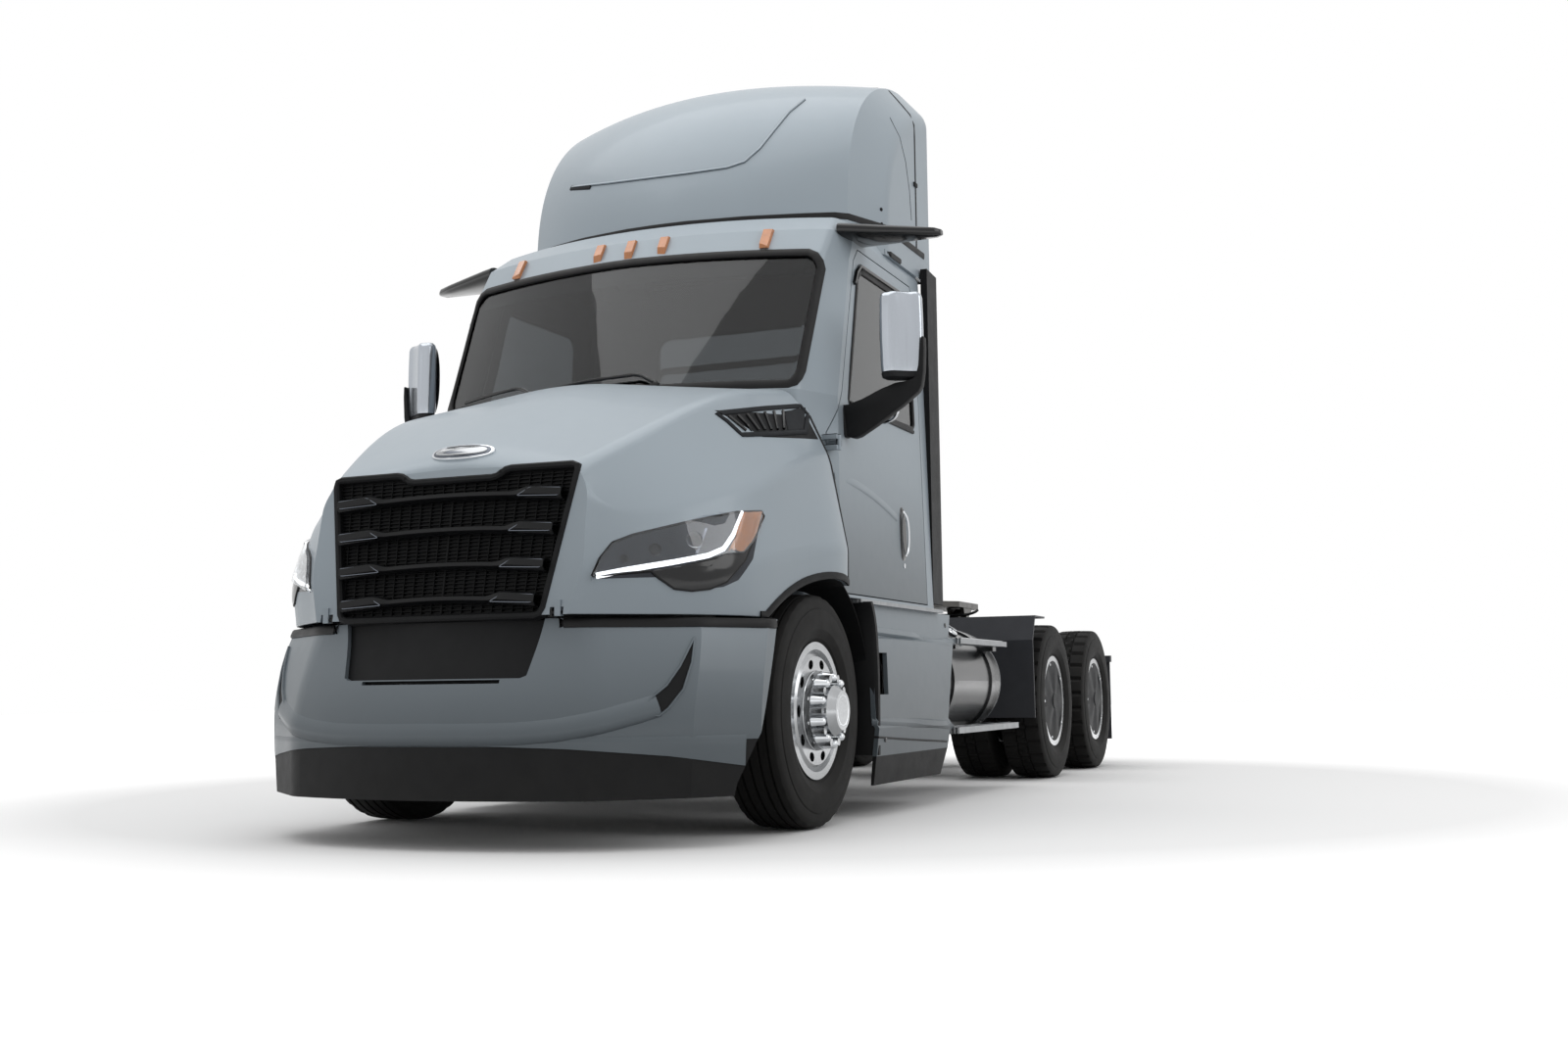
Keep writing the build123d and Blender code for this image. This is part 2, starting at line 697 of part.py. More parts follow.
seat_behind = 1180
seat_cushion_z = 1530
with BuildPart() as seats:
    for side in sides:
        with BuildSketch(Plane.YZ.offset(side * seat_x - 250)):
            with BuildLine():
                Polyline(
                    (behind(920), 1400), (behind(920), 1530), (behind(1400), 1530), (behind(1500), 2100),
                    (behind(1480), 2120), (behind(1500), 2320), (behind(1580), 2320), (behind(1600), 2110),
                    (behind(1560), 1400), (behind(1400), 1330), (behind(1400), floor_z),
                    (behind(1050), floor_z), (behind(1050), 1400), close=True,
                )
            make_face()
        extrude(amount=500)
finish(seats.part, "seats")

with BuildPart() as steering_wheel:
    with BuildSketch(Plane(origin=steering_plane.origin, x_dir=(1, 0, 0), z_dir=steering_plane.y_dir)):
        with Locations((225, 0)):
            Circle(16)
    revolve(axis=Axis(steering_plane.origin, steering_plane.z_dir))
    with BuildSketch(steering_plane.offset(-25)):
        Circle(70)
        for turn in (0, 120, 240):
            with Locations(Location((0, 0, 0), (0, 0, turn - 90))):
                with Locations((115, 0)):
                    Rectangle(210, 36)
    extrude(amount=24)
finish(steering_wheel.part, "steering_wheel")


# ---------------------------------------------------------------- side fairings, skirts and steps
# the panel's section: x, z from its foot to its top
fairing_profile = [(1192, 285), (1208, 415), (1190, 440), (1180, 838), (1150, 850), (1135, 1000)]
fairing_front = 600
fairing_rear_edge = [(1735, 285), (1757, 415), (1912, 838), (2010, 1000)]
step_hole = [(635, 572), (800, 572), (800, 771), (635, 771)]

with BuildPart() as side_fairings:
    for side in sides:
        with BuildSketch(cross_plane(behind(fairing_front))):
            with BuildLine():
                outer = [(side * x, z) for x, z in fairing_profile]
                inner = [(side * (x - panel_wall), z) for x, z in reversed(fairing_profile)]
                Polyline(*outer, *inner, close=True)
            make_face()
        extrude(amount=-1500)
    outline_points = [(fairing_front, 285), *fairing_rear_edge, (fairing_front - 180, 1000), (fairing_front, 750)]
    extrude(side_outline(outline_points, 0), amount=1300, both=True, mode=Mode.INTERSECT)
    for side in sides:
        step_cut = side_outline(step_hole, 0, side * 1000)
        extrude(step_cut, amount=side * 300, mode=Mode.SUBTRACT)
finish(side_fairings.part, "side_fairings")

with BuildPart() as fairing_skirts:
    for side in sides:
        with BuildSketch(cross_plane(behind(fairing_front))):
            with BuildLine():
                Polyline((side * 1191, 285), (side * 1175, 150), (side * 1160, 150), (side * 1172, 285), close=True)
            make_face()
        extrude(amount=-1500)
    extrude(
        side_outline([(fairing_front, 285), (1735, 285), (1650, 150), (fairing_front, 150)], 0),
        amount=1300, both=True, mode=Mode.INTERSECT,
    )
finish(fairing_skirts.part, "fairing_skirts")

tank_diameter = 620
tank_x = 812
tank_z = 640
tank_front = 980
tank_rear = 3124
tank_length = tank_rear - tank_front
with BuildPart() as fuel_tanks:
    for side in sides:
        with BuildSketch(Plane(origin=(side * tank_x, behind(tank_front), tank_z), x_dir=(1, 0, 0), z_dir=(0, 1, 0))):
            Circle(tank_diameter / 2)
        extrude(amount=tank_length)
    fillet(fuel_tanks.edges().filter_by(GeomType.CIRCLE), radius=35)
finish(fuel_tanks.part, "fuel_tanks")

step_outer_x = 1190
# front, rear, top z, thickness, inner x
step_rows = [
    (2030, 3010, 874, 30, 1080),
    (1960, 3250, 385, 34, 1012),
]
# J-shaped cradles that hang the tanks on the rails, and the step plates they carry
cradle_places = [1120, 1600, 2120, 2900]
cradle_wall = 12
with BuildPart() as tank_cradles:
    for side in sides:
        for distance in cradle_places:
            with BuildSketch(cross_plane(behind(distance) - 35)):
                with Locations((side * tank_x, tank_z)):
                    Circle(tank_diameter / 2 + cradle_wall)
                with Locations((side * (rail_outer_x + 60), tank_z + 100)):
                    Rectangle(120, 440)
                with Locations((side * (rail_outer_x - 100), tank_z + 100)):
                    Rectangle(200, 800, mode=Mode.SUBTRACT)
                for arm_z, arm_end in ((step_rows[0][2] - 44, 1142.2), (step_rows[1][2] - 17, 1012)):
                    with Locations((side * (arm_end - 110), arm_z)):
                        Rectangle(220, 28)
                with Locations((side * tank_x, tank_z)):
                    Circle(tank_diameter / 2 + running_gap, mode=Mode.SUBTRACT)
            extrude(amount=-70)
finish(tank_cradles.part, "tank_cradles")

with BuildPart() as side_steps:
    for side in sides:
        for front, rear, top, thickness, inner_x in step_rows:
            with Locations((side * (inner_x + step_outer_x) / 2, behind((front + rear) / 2), top - thickness / 2)):
                Box(step_outer_x - inner_x, rear - front, thickness)
    for side in sides:
        with Locations((side * 1070, behind(1130), 1000)):
            Box(200, 1300, 18, align=(Align.CENTER, Align.CENTER, Align.MIN))
finish(side_steps.part, "side_steps")



with BuildPart() as deck_plate:
    with Locations((0, behind(2500), rail_top_z + 5)):
        Box(rail_outer_width, 800, 10)
finish(deck_plate.part, "deck_plate")

# ---------------------------------------------------------------- front axle and steering
boss_radius = 60
boss_height = 120
pin_radius = 22
with BuildPart() as front_axle:
    with BuildSketch(cross_plane(behind(45))):
        with BuildLine():
            Polyline(
                (-kingpin_x, axle_z + 45), (-kingpin_x + 110, axle_z + 45), (-600, axle_z - 60), (600, axle_z - 60),
                (kingpin_x - 110, axle_z + 45), (kingpin_x, axle_z + 45), (kingpin_x, axle_z - 45),
                (kingpin_x - 80, axle_z - 45), (580, axle_z - 160), (-580, axle_z - 160),
                (-kingpin_x + 80, axle_z - 45), (-kingpin_x, axle_z - 45), close=True,
            )
        make_face()
    extrude(amount=90)
    for side in sides:
        with Locations((side * kingpin_x, front_axle_y, axle_z)):
            Cylinder(boss_radius, boss_height)
            Cylinder(pin_radius + running_gap, boss_height, mode=Mode.SUBTRACT)
finish(front_axle.part, "front_axle")

spring_x = rail_outer_x - rail_flange / 2
spindle_radius = 45
hub_inner_x = 940  # where a front hub begins
spindle_end_x = 1090
arm_length = 165
ball_pin_radius = 12
for side, side_name in zip(sides, ("left", "right")):
    with BuildPart() as knuckle:
        for direction in sides:
            with Locations((side * kingpin_x, front_axle_y, axle_z + direction * (boss_height / 2 + 3 + 22))):
                Cylinder(boss_radius, 44)
        with Locations((side * kingpin_x, front_axle_y, axle_z)):
            Cylinder(pin_radius, boss_height + 100)
        with Locations((side * (kingpin_x + boss_radius + 16), front_axle_y, axle_z)):
            Box(26, 130, boss_height + 94)
        for direction in sides:
            with Locations((side * (kingpin_x + 40), front_axle_y, axle_z + direction * (boss_height / 2 + 3 + 22))):
                Box(80, 100, 44)
        with BuildSketch(Plane.YZ.offset(side * (kingpin_x + boss_radius + 16))):
            with Locations((front_axle_y, axle_z)):
                Circle(spindle_radius)
        extrude(amount=side * (spindle_end_x - kingpin_x - boss_radius - 16))
        with Locations((side * kingpin_x, front_axle_y + arm_length / 2, axle_z - boss_height / 2 - 25)):
            Box(50, arm_length + 50, 40)
        with Locations((side * kingpin_x, front_axle_y + arm_length, axle_z - boss_height / 2 - 45)):
            Cylinder(ball_pin_radius, 50, align=(Align.CENTER, Align.CENTER, Align.MAX))
    finish(knuckle.part, f"knuckle_{side_name}")

tie_rod_z = axle_z - boss_height / 2 - 45 - 23
with BuildPart() as tie_rod:
    span = 2 * kingpin_x
    with Locations((0, front_axle_y + arm_length, tie_rod_z)):
        Cylinder(18, span, rotation=(0, 90, 0))
        with Locations((-span / 2, 0, 0), (span / 2, 0, 0)):
            Cylinder(28, 40)
            Cylinder(ball_pin_radius + running_gap, 60, mode=Mode.SUBTRACT)
finish(tie_rod.part, "tie_rod")

# ---------------------------------------------------------------- wheels and tyres
bead_half = 108
tread_half = tyre_width / 2 - 16
shoulder_drop = 14
bead_top = bead_radius + rim_flange_height + 2  # where the sidewall leaves the rim's flange


def tyre_ring(side, x, y):
    plane = wheel_plane(side, x, y)
    with BuildPart() as ring:
        with BuildSketch(plane):
            with BuildLine():
                Polyline((-bead_half, bead_top), (-bead_half, bead_radius), (bead_half, bead_radius), (bead_half, bead_top))
                ThreePointArc(
                    (bead_half, bead_top),
                    (tyre_width / 2, (bead_radius + tyre_radius) / 2 - 10),
                    (tread_half, tyre_radius - shoulder_drop),
                )
                ThreePointArc(
                    (tread_half, tyre_radius - shoulder_drop), (0, tyre_radius), (-tread_half, tyre_radius - shoulder_drop)
                )
                ThreePointArc(
                    (-tread_half, tyre_radius - shoulder_drop),
                    (-tyre_width / 2, (bead_radius + tyre_radius) / 2 - 10),
                    (-bead_half, bead_top),
                )
            make_face()
        revolve(axis=Axis(plane.origin, (1, 0, 0)))
    return ring.part


rim_radius = bead_radius - running_gap
flange_radius = bead_radius + rim_flange_height
rim_half = bead_half + 10
# front rim section: outboard distance, radius
front_rim_profile = [
    (-rim_half, flange_radius), (-bead_half - running_gap, flange_radius), (-bead_half - running_gap, rim_radius),
    (bead_half + running_gap, rim_radius), (bead_half + running_gap, flange_radius), (rim_half, flange_radius),
    (rim_half, bead_radius - 20), (100, bead_radius - 26), (118, 235), (118, 172), (150, 168), (150, 118),
    (205, 110), (240, 85), (240, 0), (spindle_end_x - steer_tyre_x + 10, 0),
    (spindle_end_x - steer_tyre_x + 10, spindle_radius + running_gap), (hub_inner_x + 30 - steer_tyre_x, spindle_radius + running_gap),
    (hub_inner_x + 30 - steer_tyre_x, 150), (60, 150), (60, 172), (100, 176), (100, 225), (78, bead_radius - 26),
    (-rim_half, bead_radius - 26),
]
hand_holes = 10
hand_hole_circle = 208
lug_count = 10
lug_circle = 143
for side, side_name in zip(sides, ("left", "right")):
    plane = wheel_plane(side, steer_tyre_x, front_axle_y)
    face = Plane(origin=plane.origin, x_dir=(0, 1, 0), z_dir=(side, 0, 0))
    finish(tyre_ring(side, steer_tyre_x, front_axle_y), f"front_tyre_{side_name}")
    with BuildPart() as front_wheel:
        with BuildSketch(plane):
            with BuildLine():
                Polyline(*front_rim_profile, close=True)
            make_face()
        revolve(axis=Axis(plane.origin, (1, 0, 0)))
        with BuildSketch(face.offset(70)):
            with PolarLocations(hand_hole_circle, hand_holes):
                Ellipse(20, 27)
        extrude(amount=80, mode=Mode.SUBTRACT)
        with BuildSketch(face.offset(140)):
            with PolarLocations(lug_circle, lug_count):
                Circle(17)
        extrude(amount=62)
    finish(front_wheel.part, f"front_wheel_{side_name}")

# rear pair, measured from the outer tyre's middle
mating_x = -dual_spacing / 2
spindle_tube = 70
drum_inner_x = -410
hub_end = -60
rear_rim_profile = [
    (bead_half + running_gap, rim_radius), (bead_half + running_gap, flange_radius), (rim_half, flange_radius),
    (rim_half, bead_radius - 20), (104, bead_radius - 26), (100, 0), (88, 0), (88, bead_radius - 26),
    (mating_x + 30, bead_radius - 26), (mating_x + 8, 190), (mating_x + 8, 150), (hub_end, 150), (hub_end, 0),
    (hub_end - 30, 0), (hub_end - 30, spindle_tube + running_gap), (drum_inner_x, spindle_tube + running_gap),
    (drum_inner_x, 205), (mating_x - 8, 205), (mating_x - 30, bead_radius - 26), (-dual_spacing - rim_half, bead_radius - 26),
    (-dual_spacing - rim_half, flange_radius), (-dual_spacing - bead_half - running_gap, flange_radius),
    (-dual_spacing - bead_half - running_gap, rim_radius), (-dual_spacing + bead_half, rim_radius),
    (-dual_spacing + bead_half, bead_radius - 14), (-bead_half - running_gap, bead_radius - 14),
    (-bead_half - running_gap, rim_radius),
]
for number, axle_y in enumerate(drive_axle_ys, start=1):
    for side, side_name in zip(sides, ("left", "right")):
        plane = wheel_plane(side, dual_outer_x, axle_y)
        with BuildPart() as rear_tyres:
            add(tyre_ring(side, dual_outer_x, axle_y))
            add(tyre_ring(side, dual_outer_x - dual_spacing, axle_y))
        finish(rear_tyres.part, f"rear_tyres_{number}_{side_name}")
        with BuildPart() as rear_wheel:
            with BuildSketch(plane):
                with BuildLine():
                    Polyline(*rear_rim_profile, close=True)
                make_face()
            revolve(axis=Axis(plane.origin, (1, 0, 0)))
            face = Plane(origin=plane.origin, x_dir=(0, 1, 0), z_dir=(side, 0, 0))
            with BuildSketch(face.offset(mating_x - 60)):
                with PolarLocations(225, 5):
                    Circle(16)
            extrude(amount=120, mode=Mode.SUBTRACT)
        finish(rear_wheel.part, f"rear_wheel_{number}_{side_name}")

# ---------------------------------------------------------------- drive axles, suspension, driveline
tube_end_x = dual_outer_x + hub_end - 30 - 4
housing_radius = 205
with BuildPart() as drive_axles:
    for axle_y in drive_axle_ys:
        with Locations((0, axle_y, axle_z)):
            Cylinder(spindle_tube, 2 * tube_end_x, rotation=(0, 90, 0))
            Cylinder(housing_radius, 260, rotation=(0, 90, 0))
finish(drive_axles.part, "drive_axles")

with BuildPart() as suspension:
    for side in sides:
        with BuildSketch(Plane.YZ.offset(side * spring_x - 40)):
            with BuildLine():
                ThreePointArc((behind(-720), 640), (front_axle_y, 448 + 40), (behind(720), 640))
                Line((behind(720), 640), (behind(720), 600))
                ThreePointArc((behind(720), 600), (front_axle_y, 448), (behind(-720), 600))
                Line((behind(-720), 600), (behind(-720), 640))
            make_face()
        extrude(amount=80)
        for end in (-700, 700):
            with Locations((side * spring_x, behind(end), 620)):
                Box(84, 60, 2 * (rail_bottom_z - 620), align=(Align.CENTER, Align.CENTER, Align.CENTER))
    for axle_y in drive_axle_ys:
        for side in sides:
            with Locations((side * (rail_outer_x - 40), axle_y, axle_z + spindle_tube)):
                Box(90, 120, rail_bottom_z - axle_z - spindle_tube, align=(Align.CENTER, Align.CENTER, Align.MIN))
            with Locations((side * (rail_outer_x - 40), axle_y + 330, 420)):
                Cylinder(125, rail_bottom_z - 420, align=(Align.CENTER, Align.CENTER, Align.MIN))
            with Locations((side * (rail_outer_x - 40), axle_y + 190, 420 - 40)):
                Box(90, 520, 40, align=(Align.CENTER, Align.CENTER, Align.MIN))
            with Locations((side * (rail_outer_x - 40), axle_y, 380)):
                Box(90, 120, axle_z - spindle_tube - 380, align=(Align.CENTER, Align.CENTER, Align.MIN))
finish(suspension.part, "suspension")

shaft_radius = 55
shaft_z = 590
with BuildPart() as driveline:
    with BuildSketch(cross_plane(behind(100))):
        with Locations((0, 860)):
            RectangleRounded(480, 300, 60)
    extrude(amount=-900)
    with BuildSketch(cross_plane(behind(1000))):
        with Locations((0, 800)):
            Circle(shaft_radius)
    with BuildSketch(cross_plane(drive_axle_ys[0] - housing_radius + 1)):
        with Locations((0, shaft_z)):
            Circle(shaft_radius)
    loft()
    with BuildSketch(cross_plane(drive_axle_ys[0] + housing_radius - 1)):
        with Locations((0, axle_z)):
            Circle(shaft_radius)
    extrude(amount=-(tandem_spread - 2 * housing_radius + 2))
    add(drive_axles.part, mode=Mode.SUBTRACT)
finish(driveline.part, "driveline")

# ---------------------------------------------------------------- fifth wheel
fifth_behind = wheelbase - 60
fifth_pivot_z = 1130
plate_top_z = 1215
plate_thickness = 40
plate_width = 910
plate_front = 430
plate_rear = 470
throat_radius = 26
pivot_radius = 24
with BuildPart() as fifth_wheel_base:
    with Locations((0, behind(fifth_behind), rail_top_z)):
        Box(rail_outer_width + 60, 420, 14, align=(Align.CENTER, Align.CENTER, Align.MIN))
    for side in sides:
        with BuildSketch(Plane.YZ.offset(side * 380 - 30)):
            with Locations((behind(fifth_behind), rail_top_z + 14)):
                Trapezoid(360, fifth_pivot_z - rail_top_z - 14, 60, align=(Align.CENTER, Align.MIN))
            with Locations((behind(fifth_behind), fifth_pivot_z)):
                Circle(42)
                Circle(pivot_radius + running_gap, mode=Mode.SUBTRACT)
        extrude(amount=60)
finish(fifth_wheel_base.part, "fifth_wheel_base")

with BuildPart() as fifth_wheel_plate:
    with BuildSketch(Plane.XY.offset(plate_top_z - plate_thickness)):
        y = behind(fifth_behind)
        with BuildLine():
            Polyline(
                (-plate_width / 2, y - 250), (-300, y - plate_front), (300, y - plate_front), (plate_width / 2, y - 250),
                (plate_width / 2, y + 240), (300, y + plate_rear), (170, y + plate_rear), (throat_radius, y + 60),
                (throat_radius, y), (-throat_radius, y), (-throat_radius, y + 60), (-170, y + plate_rear),
                (-300, y + plate_rear), (-plate_width / 2, y + 240), close=True,
            )
        make_face()
        with Locations((0, y)):
            Circle(throat_radius, mode=Mode.SUBTRACT)
    extrude(amount=plate_thickness)
    for side in sides:
        for offset_x in (-50, 50):
            with BuildSketch(Plane.YZ.offset(side * 380 + offset_x - 14)):
                with Locations((behind(fifth_behind), plate_top_z - plate_thickness)):
                    Trapezoid(200, plate_top_z - plate_thickness - fifth_pivot_z, 70, rotation=180, align=(Align.CENTER, Align.MIN))
                with Locations((behind(fifth_behind), fifth_pivot_z)):
                    Circle(40)
            extrude(amount=28)
        with BuildSketch(Plane.YZ.offset(side * 380 - 60)):
            with Locations((behind(fifth_behind), fifth_pivot_z)):
                Circle(pivot_radius)
        extrude(amount=120)
finish(fifth_wheel_plate.part, "fifth_wheel_plate")

# ---------------------------------------------------------------- mud guards and tail
guard_inner_x = 600
flap_behind = wheelbase + tandem_spread / 2 + 700
guard_outer_x = 1215
with BuildPart() as mud_guards:
    for side in sides:
        centre_x = side * (guard_inner_x + guard_outer_x) / 2
        width = guard_outer_x - guard_inner_x
        with BuildSketch(Plane.YZ.offset(centre_x - width / 2)):
            with BuildLine():
                Polyline(
                    (behind(3575), 406), (behind(3560), 900), (behind(3640), 1060), (behind(3900), 1060),
                    (behind(3900), 1048), (behind(3646), 1048), (behind(3572), 897), (behind(3587), 406), close=True,
                )
            make_face()
        extrude(amount=width)
        with Locations((side * (guard_inner_x + rail_outer_x) / 2, behind(3600), 900)):
            Box(guard_inner_x - rail_outer_x, 50, 50)
    for side in sides:
        with Locations((side * 890, behind(flap_behind), 190)):
            Box(580, 12, 620, align=(Align.CENTER, Align.CENTER, Align.MIN))
        with Locations((side * (rail_outer_x + 1190) / 2, behind(flap_behind), 815)):
            Box(1190 - rail_outer_x, 50, 50)
finish(mud_guards.part, "mud_guards")

with BuildPart() as tail_lamps:
    for side in sides:
        with Locations((side * 340, rear_end_y - 60, rail_bottom_z - 40)):
            Box(150, 60, 80)
finish(tail_lamps.part, "tail_lamps")
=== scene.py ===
import json
import math

import bpy
from mathutils import Matrix, Vector
from mathutils.bvhtree import BVHTree

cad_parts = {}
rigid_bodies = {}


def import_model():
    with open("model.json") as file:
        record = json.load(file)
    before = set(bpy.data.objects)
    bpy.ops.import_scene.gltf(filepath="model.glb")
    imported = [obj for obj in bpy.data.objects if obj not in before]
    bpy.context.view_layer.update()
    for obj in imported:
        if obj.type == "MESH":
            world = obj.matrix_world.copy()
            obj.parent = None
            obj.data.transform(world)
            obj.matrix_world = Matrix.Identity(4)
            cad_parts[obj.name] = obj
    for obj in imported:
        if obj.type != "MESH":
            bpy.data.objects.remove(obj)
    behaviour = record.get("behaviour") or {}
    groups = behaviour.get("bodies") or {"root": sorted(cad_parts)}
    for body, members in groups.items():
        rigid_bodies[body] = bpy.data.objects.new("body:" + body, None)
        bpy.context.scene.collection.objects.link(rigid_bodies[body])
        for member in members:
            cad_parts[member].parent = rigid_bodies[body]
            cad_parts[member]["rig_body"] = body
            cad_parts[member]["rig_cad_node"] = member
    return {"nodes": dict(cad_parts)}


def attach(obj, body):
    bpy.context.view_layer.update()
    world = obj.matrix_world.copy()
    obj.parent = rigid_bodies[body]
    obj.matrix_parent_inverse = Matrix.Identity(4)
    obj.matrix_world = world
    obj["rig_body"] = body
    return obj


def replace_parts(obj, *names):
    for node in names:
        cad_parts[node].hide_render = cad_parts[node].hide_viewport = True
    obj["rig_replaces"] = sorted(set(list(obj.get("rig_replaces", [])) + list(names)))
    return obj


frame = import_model()
bpy.ops.object.select_all(action="DESELECT")
nodes = frame["nodes"]
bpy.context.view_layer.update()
frontAxle = -2.546  # y of the front axle
axleHeight = 0.508
rearRows = [(1, 1.614), (2, 2.934)]  # tandem axles and their y
tyreX = dict(front=1.013, outer=1.0835, inner=0.7375)
sides = [(1, "Left"), (-1, "Right")]
toRear = Vector((0, 1, 0))
toFront = Vector((0, -1, 0))
toLeft = Vector((1, 0, 0))
upwards = Vector((0, 0, 1))
print("frame loaded:", len(nodes), "nodes")

# camera and stage
viewer = dict(place=(3.727, -9.138, 0.597), yaw=22.578, pitch=5.775, roll=-0.663,
              focal=1648.83, width=1600, height=1076, sensor=36, farEnd=200)


def viewAxes():
    yaw, pitch, roll = (math.radians(viewer[k]) for k in ("yaw", "pitch", "roll"))
    ahead = Vector((-math.sin(yaw) * math.cos(pitch), math.cos(yaw) * math.cos(pitch), math.sin(pitch)))
    across = Vector((math.cos(yaw), math.sin(yaw), 0))
    up = across.cross(ahead)
    right = math.cos(roll) * across + math.sin(roll) * up
    top = math.cos(roll) * up - math.sin(roll) * across
    return right, top, ahead


def addCamera():
    right, top, ahead = viewAxes()
    turn = Matrix((right, top, -ahead)).transposed().to_4x4()
    data = bpy.data.cameras.new("viewCamera")
    data.sensor_width = viewer["sensor"]
    data.lens = viewer["focal"] * viewer["sensor"] / viewer["width"]
    data.clip_end = viewer["farEnd"]
    camera = bpy.data.objects.new("viewCamera", data)
    bpy.context.scene.collection.objects.link(camera)
    camera.matrix_world = Matrix.Translation(viewer["place"]) @ turn
    bpy.context.scene.camera = camera


def seenRay(px, py):
    right, top, ahead = viewAxes()
    sideways = (px - viewer["width"] / 2) / viewer["focal"]
    downwards = (py - viewer["height"] / 2) / viewer["focal"]
    return Vector(viewer["place"]), (ahead + sideways * right - downwards * top).normalized()


def addNode(tree, kind, inputs=None, **settings):
    node = tree.nodes.new("ShaderNode" + kind)
    for key, value in settings.items():
        setattr(node, key, value)
    for key, value in (inputs or {}).items():
        node.inputs[key].default_value = value
    return node


def addMath(tree, operation, first, second):
    node = addNode(tree, "Math", operation=operation)
    for socket, value in zip(node.inputs, (first, second)):
        if isinstance(value, (int, float)):
            socket.default_value = value
        else:
            tree.links.new(value, socket)
    return node.outputs[0]


stage = dict(floorSize=90, floorDrop=0.002, floorGrey=0.86, bounce=(0.16, 0.1632, 0.168), fadeFrom=4.0,
             fadeTo=8.5, worldLight=0.66)
lamps = [  # name, place, size, power, aim
    ("keyLamp", (-2.0, -2.5, 14.0), 14, 850, (0, -1.6, 1.5)),
    ("sideLamp", (10.5, -2.0, 6.5), 6, 240, (0, 0, 1.6)),
    ("frontLamp", (-7.5, -12.0, 4.0), 5, 10, (0, -2.5, 1.3))]


def addFloor():
    bpy.ops.mesh.primitive_grid_add(size=stage["floorSize"], x_subdivisions=6, y_subdivisions=6,
                                    location=(0, 0, -stage["floorDrop"]))
    floor = bpy.context.active_object
    floor.name = "studioFloor"
    material = bpy.data.materials.new("studioFloorPaint")
    material.use_nodes = True
    tree = material.node_tree
    link = tree.links.new
    shader = tree.nodes["Principled BSDF"]
    shader.inputs["Roughness"].default_value = 0.9
    shader.inputs["Specular IOR Level"].default_value = 0.1
    light = addNode(tree, "LightPath")
    grey = stage["floorGrey"]
    mix = addNode(tree, "Mix", {"A": (grey, grey, grey, 1), "B": [*stage["bounce"], 1]}, data_type="RGBA")
    link(light.outputs["Is Diffuse Ray"], mix.inputs["Factor"])
    link(mix.outputs["Result"], shader.inputs["Base Color"])
    where = addNode(tree, "TexCoord")
    reach = addNode(tree, "VectorMath", operation="LENGTH")
    link(where.outputs["Object"], reach.inputs[0])
    fade = addNode(tree, "MapRange", {"From Min": stage["fadeFrom"], "From Max": stage["fadeTo"]})
    link(reach.outputs["Value"], fade.inputs["Value"])
    seen = addMath(tree, "SUBTRACT", 1, light.outputs["Is Diffuse Ray"])
    shader.inputs["Emission Color"].default_value = (1, 1, 1, 1)
    link(addMath(tree, "MULTIPLY", fade.outputs[0], seen), shader.inputs["Emission Strength"])
    floor.data.materials.append(material)


def addWorldAndLamps():
    world = bpy.data.worlds.new("studioWorld")
    bpy.context.scene.world = world
    world.use_nodes = True
    tree = world.node_tree
    back = tree.nodes["Background"]
    back.inputs["Color"].default_value = (1, 1, 1, 1)
    light = addNode(tree, "LightPath")
    white = addMath(tree, "MAXIMUM", light.outputs["Is Camera Ray"], light.outputs["Is Transmission Ray"])
    white = addMath(tree, "MAXIMUM", white, light.outputs["Is Glossy Ray"])
    level = addNode(tree, "MapRange", {"To Min": stage["worldLight"], "To Max": 1.0})
    tree.links.new(white, level.inputs["Value"])
    tree.links.new(level.outputs[0], back.inputs["Strength"])
    for name, place, size, power, aim in lamps:
        data = bpy.data.lights.new(name, "AREA")
        data.size, data.energy = size, power
        lamp = bpy.data.objects.new(name, data)
        bpy.context.scene.collection.objects.link(lamp)
        lamp.location = place
        lamp.rotation_euler = (Vector(aim) - Vector(place)).to_track_quat("-Z", "Y").to_euler()
    bpy.context.scene.view_settings.view_transform = "Standard"


addCamera()
addFloor()
addWorldAndLamps()
print("camera and stage ready")


# finishes
def addDust(tree, where, surface, spec):  # road dust, thicker near the ground
    link = tree.links.new
    split = addNode(tree, "SeparateXYZ")
    link(where.outputs["Object"], split.inputs[0])
    height = addNode(tree, "MapRange", {"From Min": 0.05, "From Max": spec.get("dustTop", 0.9),
                                        "To Min": spec["dust"], "To Max": 0})
    link(split.outputs["Z"], height.inputs["Value"])
    patch = addNode(tree, "TexNoise", {"Scale": 9, "Detail": 8})
    link(where.outputs["Object"], patch.inputs["Vector"])
    mix = addNode(tree, "Mix", {"B": (0.11, 0.105, 0.095, 1)}, data_type="RGBA")
    link(addMath(tree, "MULTIPLY", height.outputs[0], patch.outputs["Fac"]), mix.inputs["Factor"])
    link(surface, mix.inputs["A"])
    return mix.outputs["Result"]


def addPaintedShade(tree, where, surface, spec):  # painted shade, evenly darker towards the ground
    link = tree.links.new
    rise = addNode(tree, "SeparateXYZ")
    link(where.outputs["Object"], rise.inputs[0])
    level = addNode(tree, "MapRange", {"From Min": spec["paintedShadeFrom"], "From Max": spec["paintedShadeTo"],
                                       "To Min": spec["paintedShade"], "To Max": 0}, interpolation_type="SMOOTHSTEP")
    link(rise.outputs["Z"], level.inputs["Value"])
    paintedShade = addNode(tree, "Mix", {"B": [*spec["paintedShadeColour"], 1]}, data_type="RGBA")
    link(level.outputs[0], paintedShade.inputs["Factor"])
    link(surface, paintedShade.inputs["A"])
    return paintedShade.outputs["Result"]


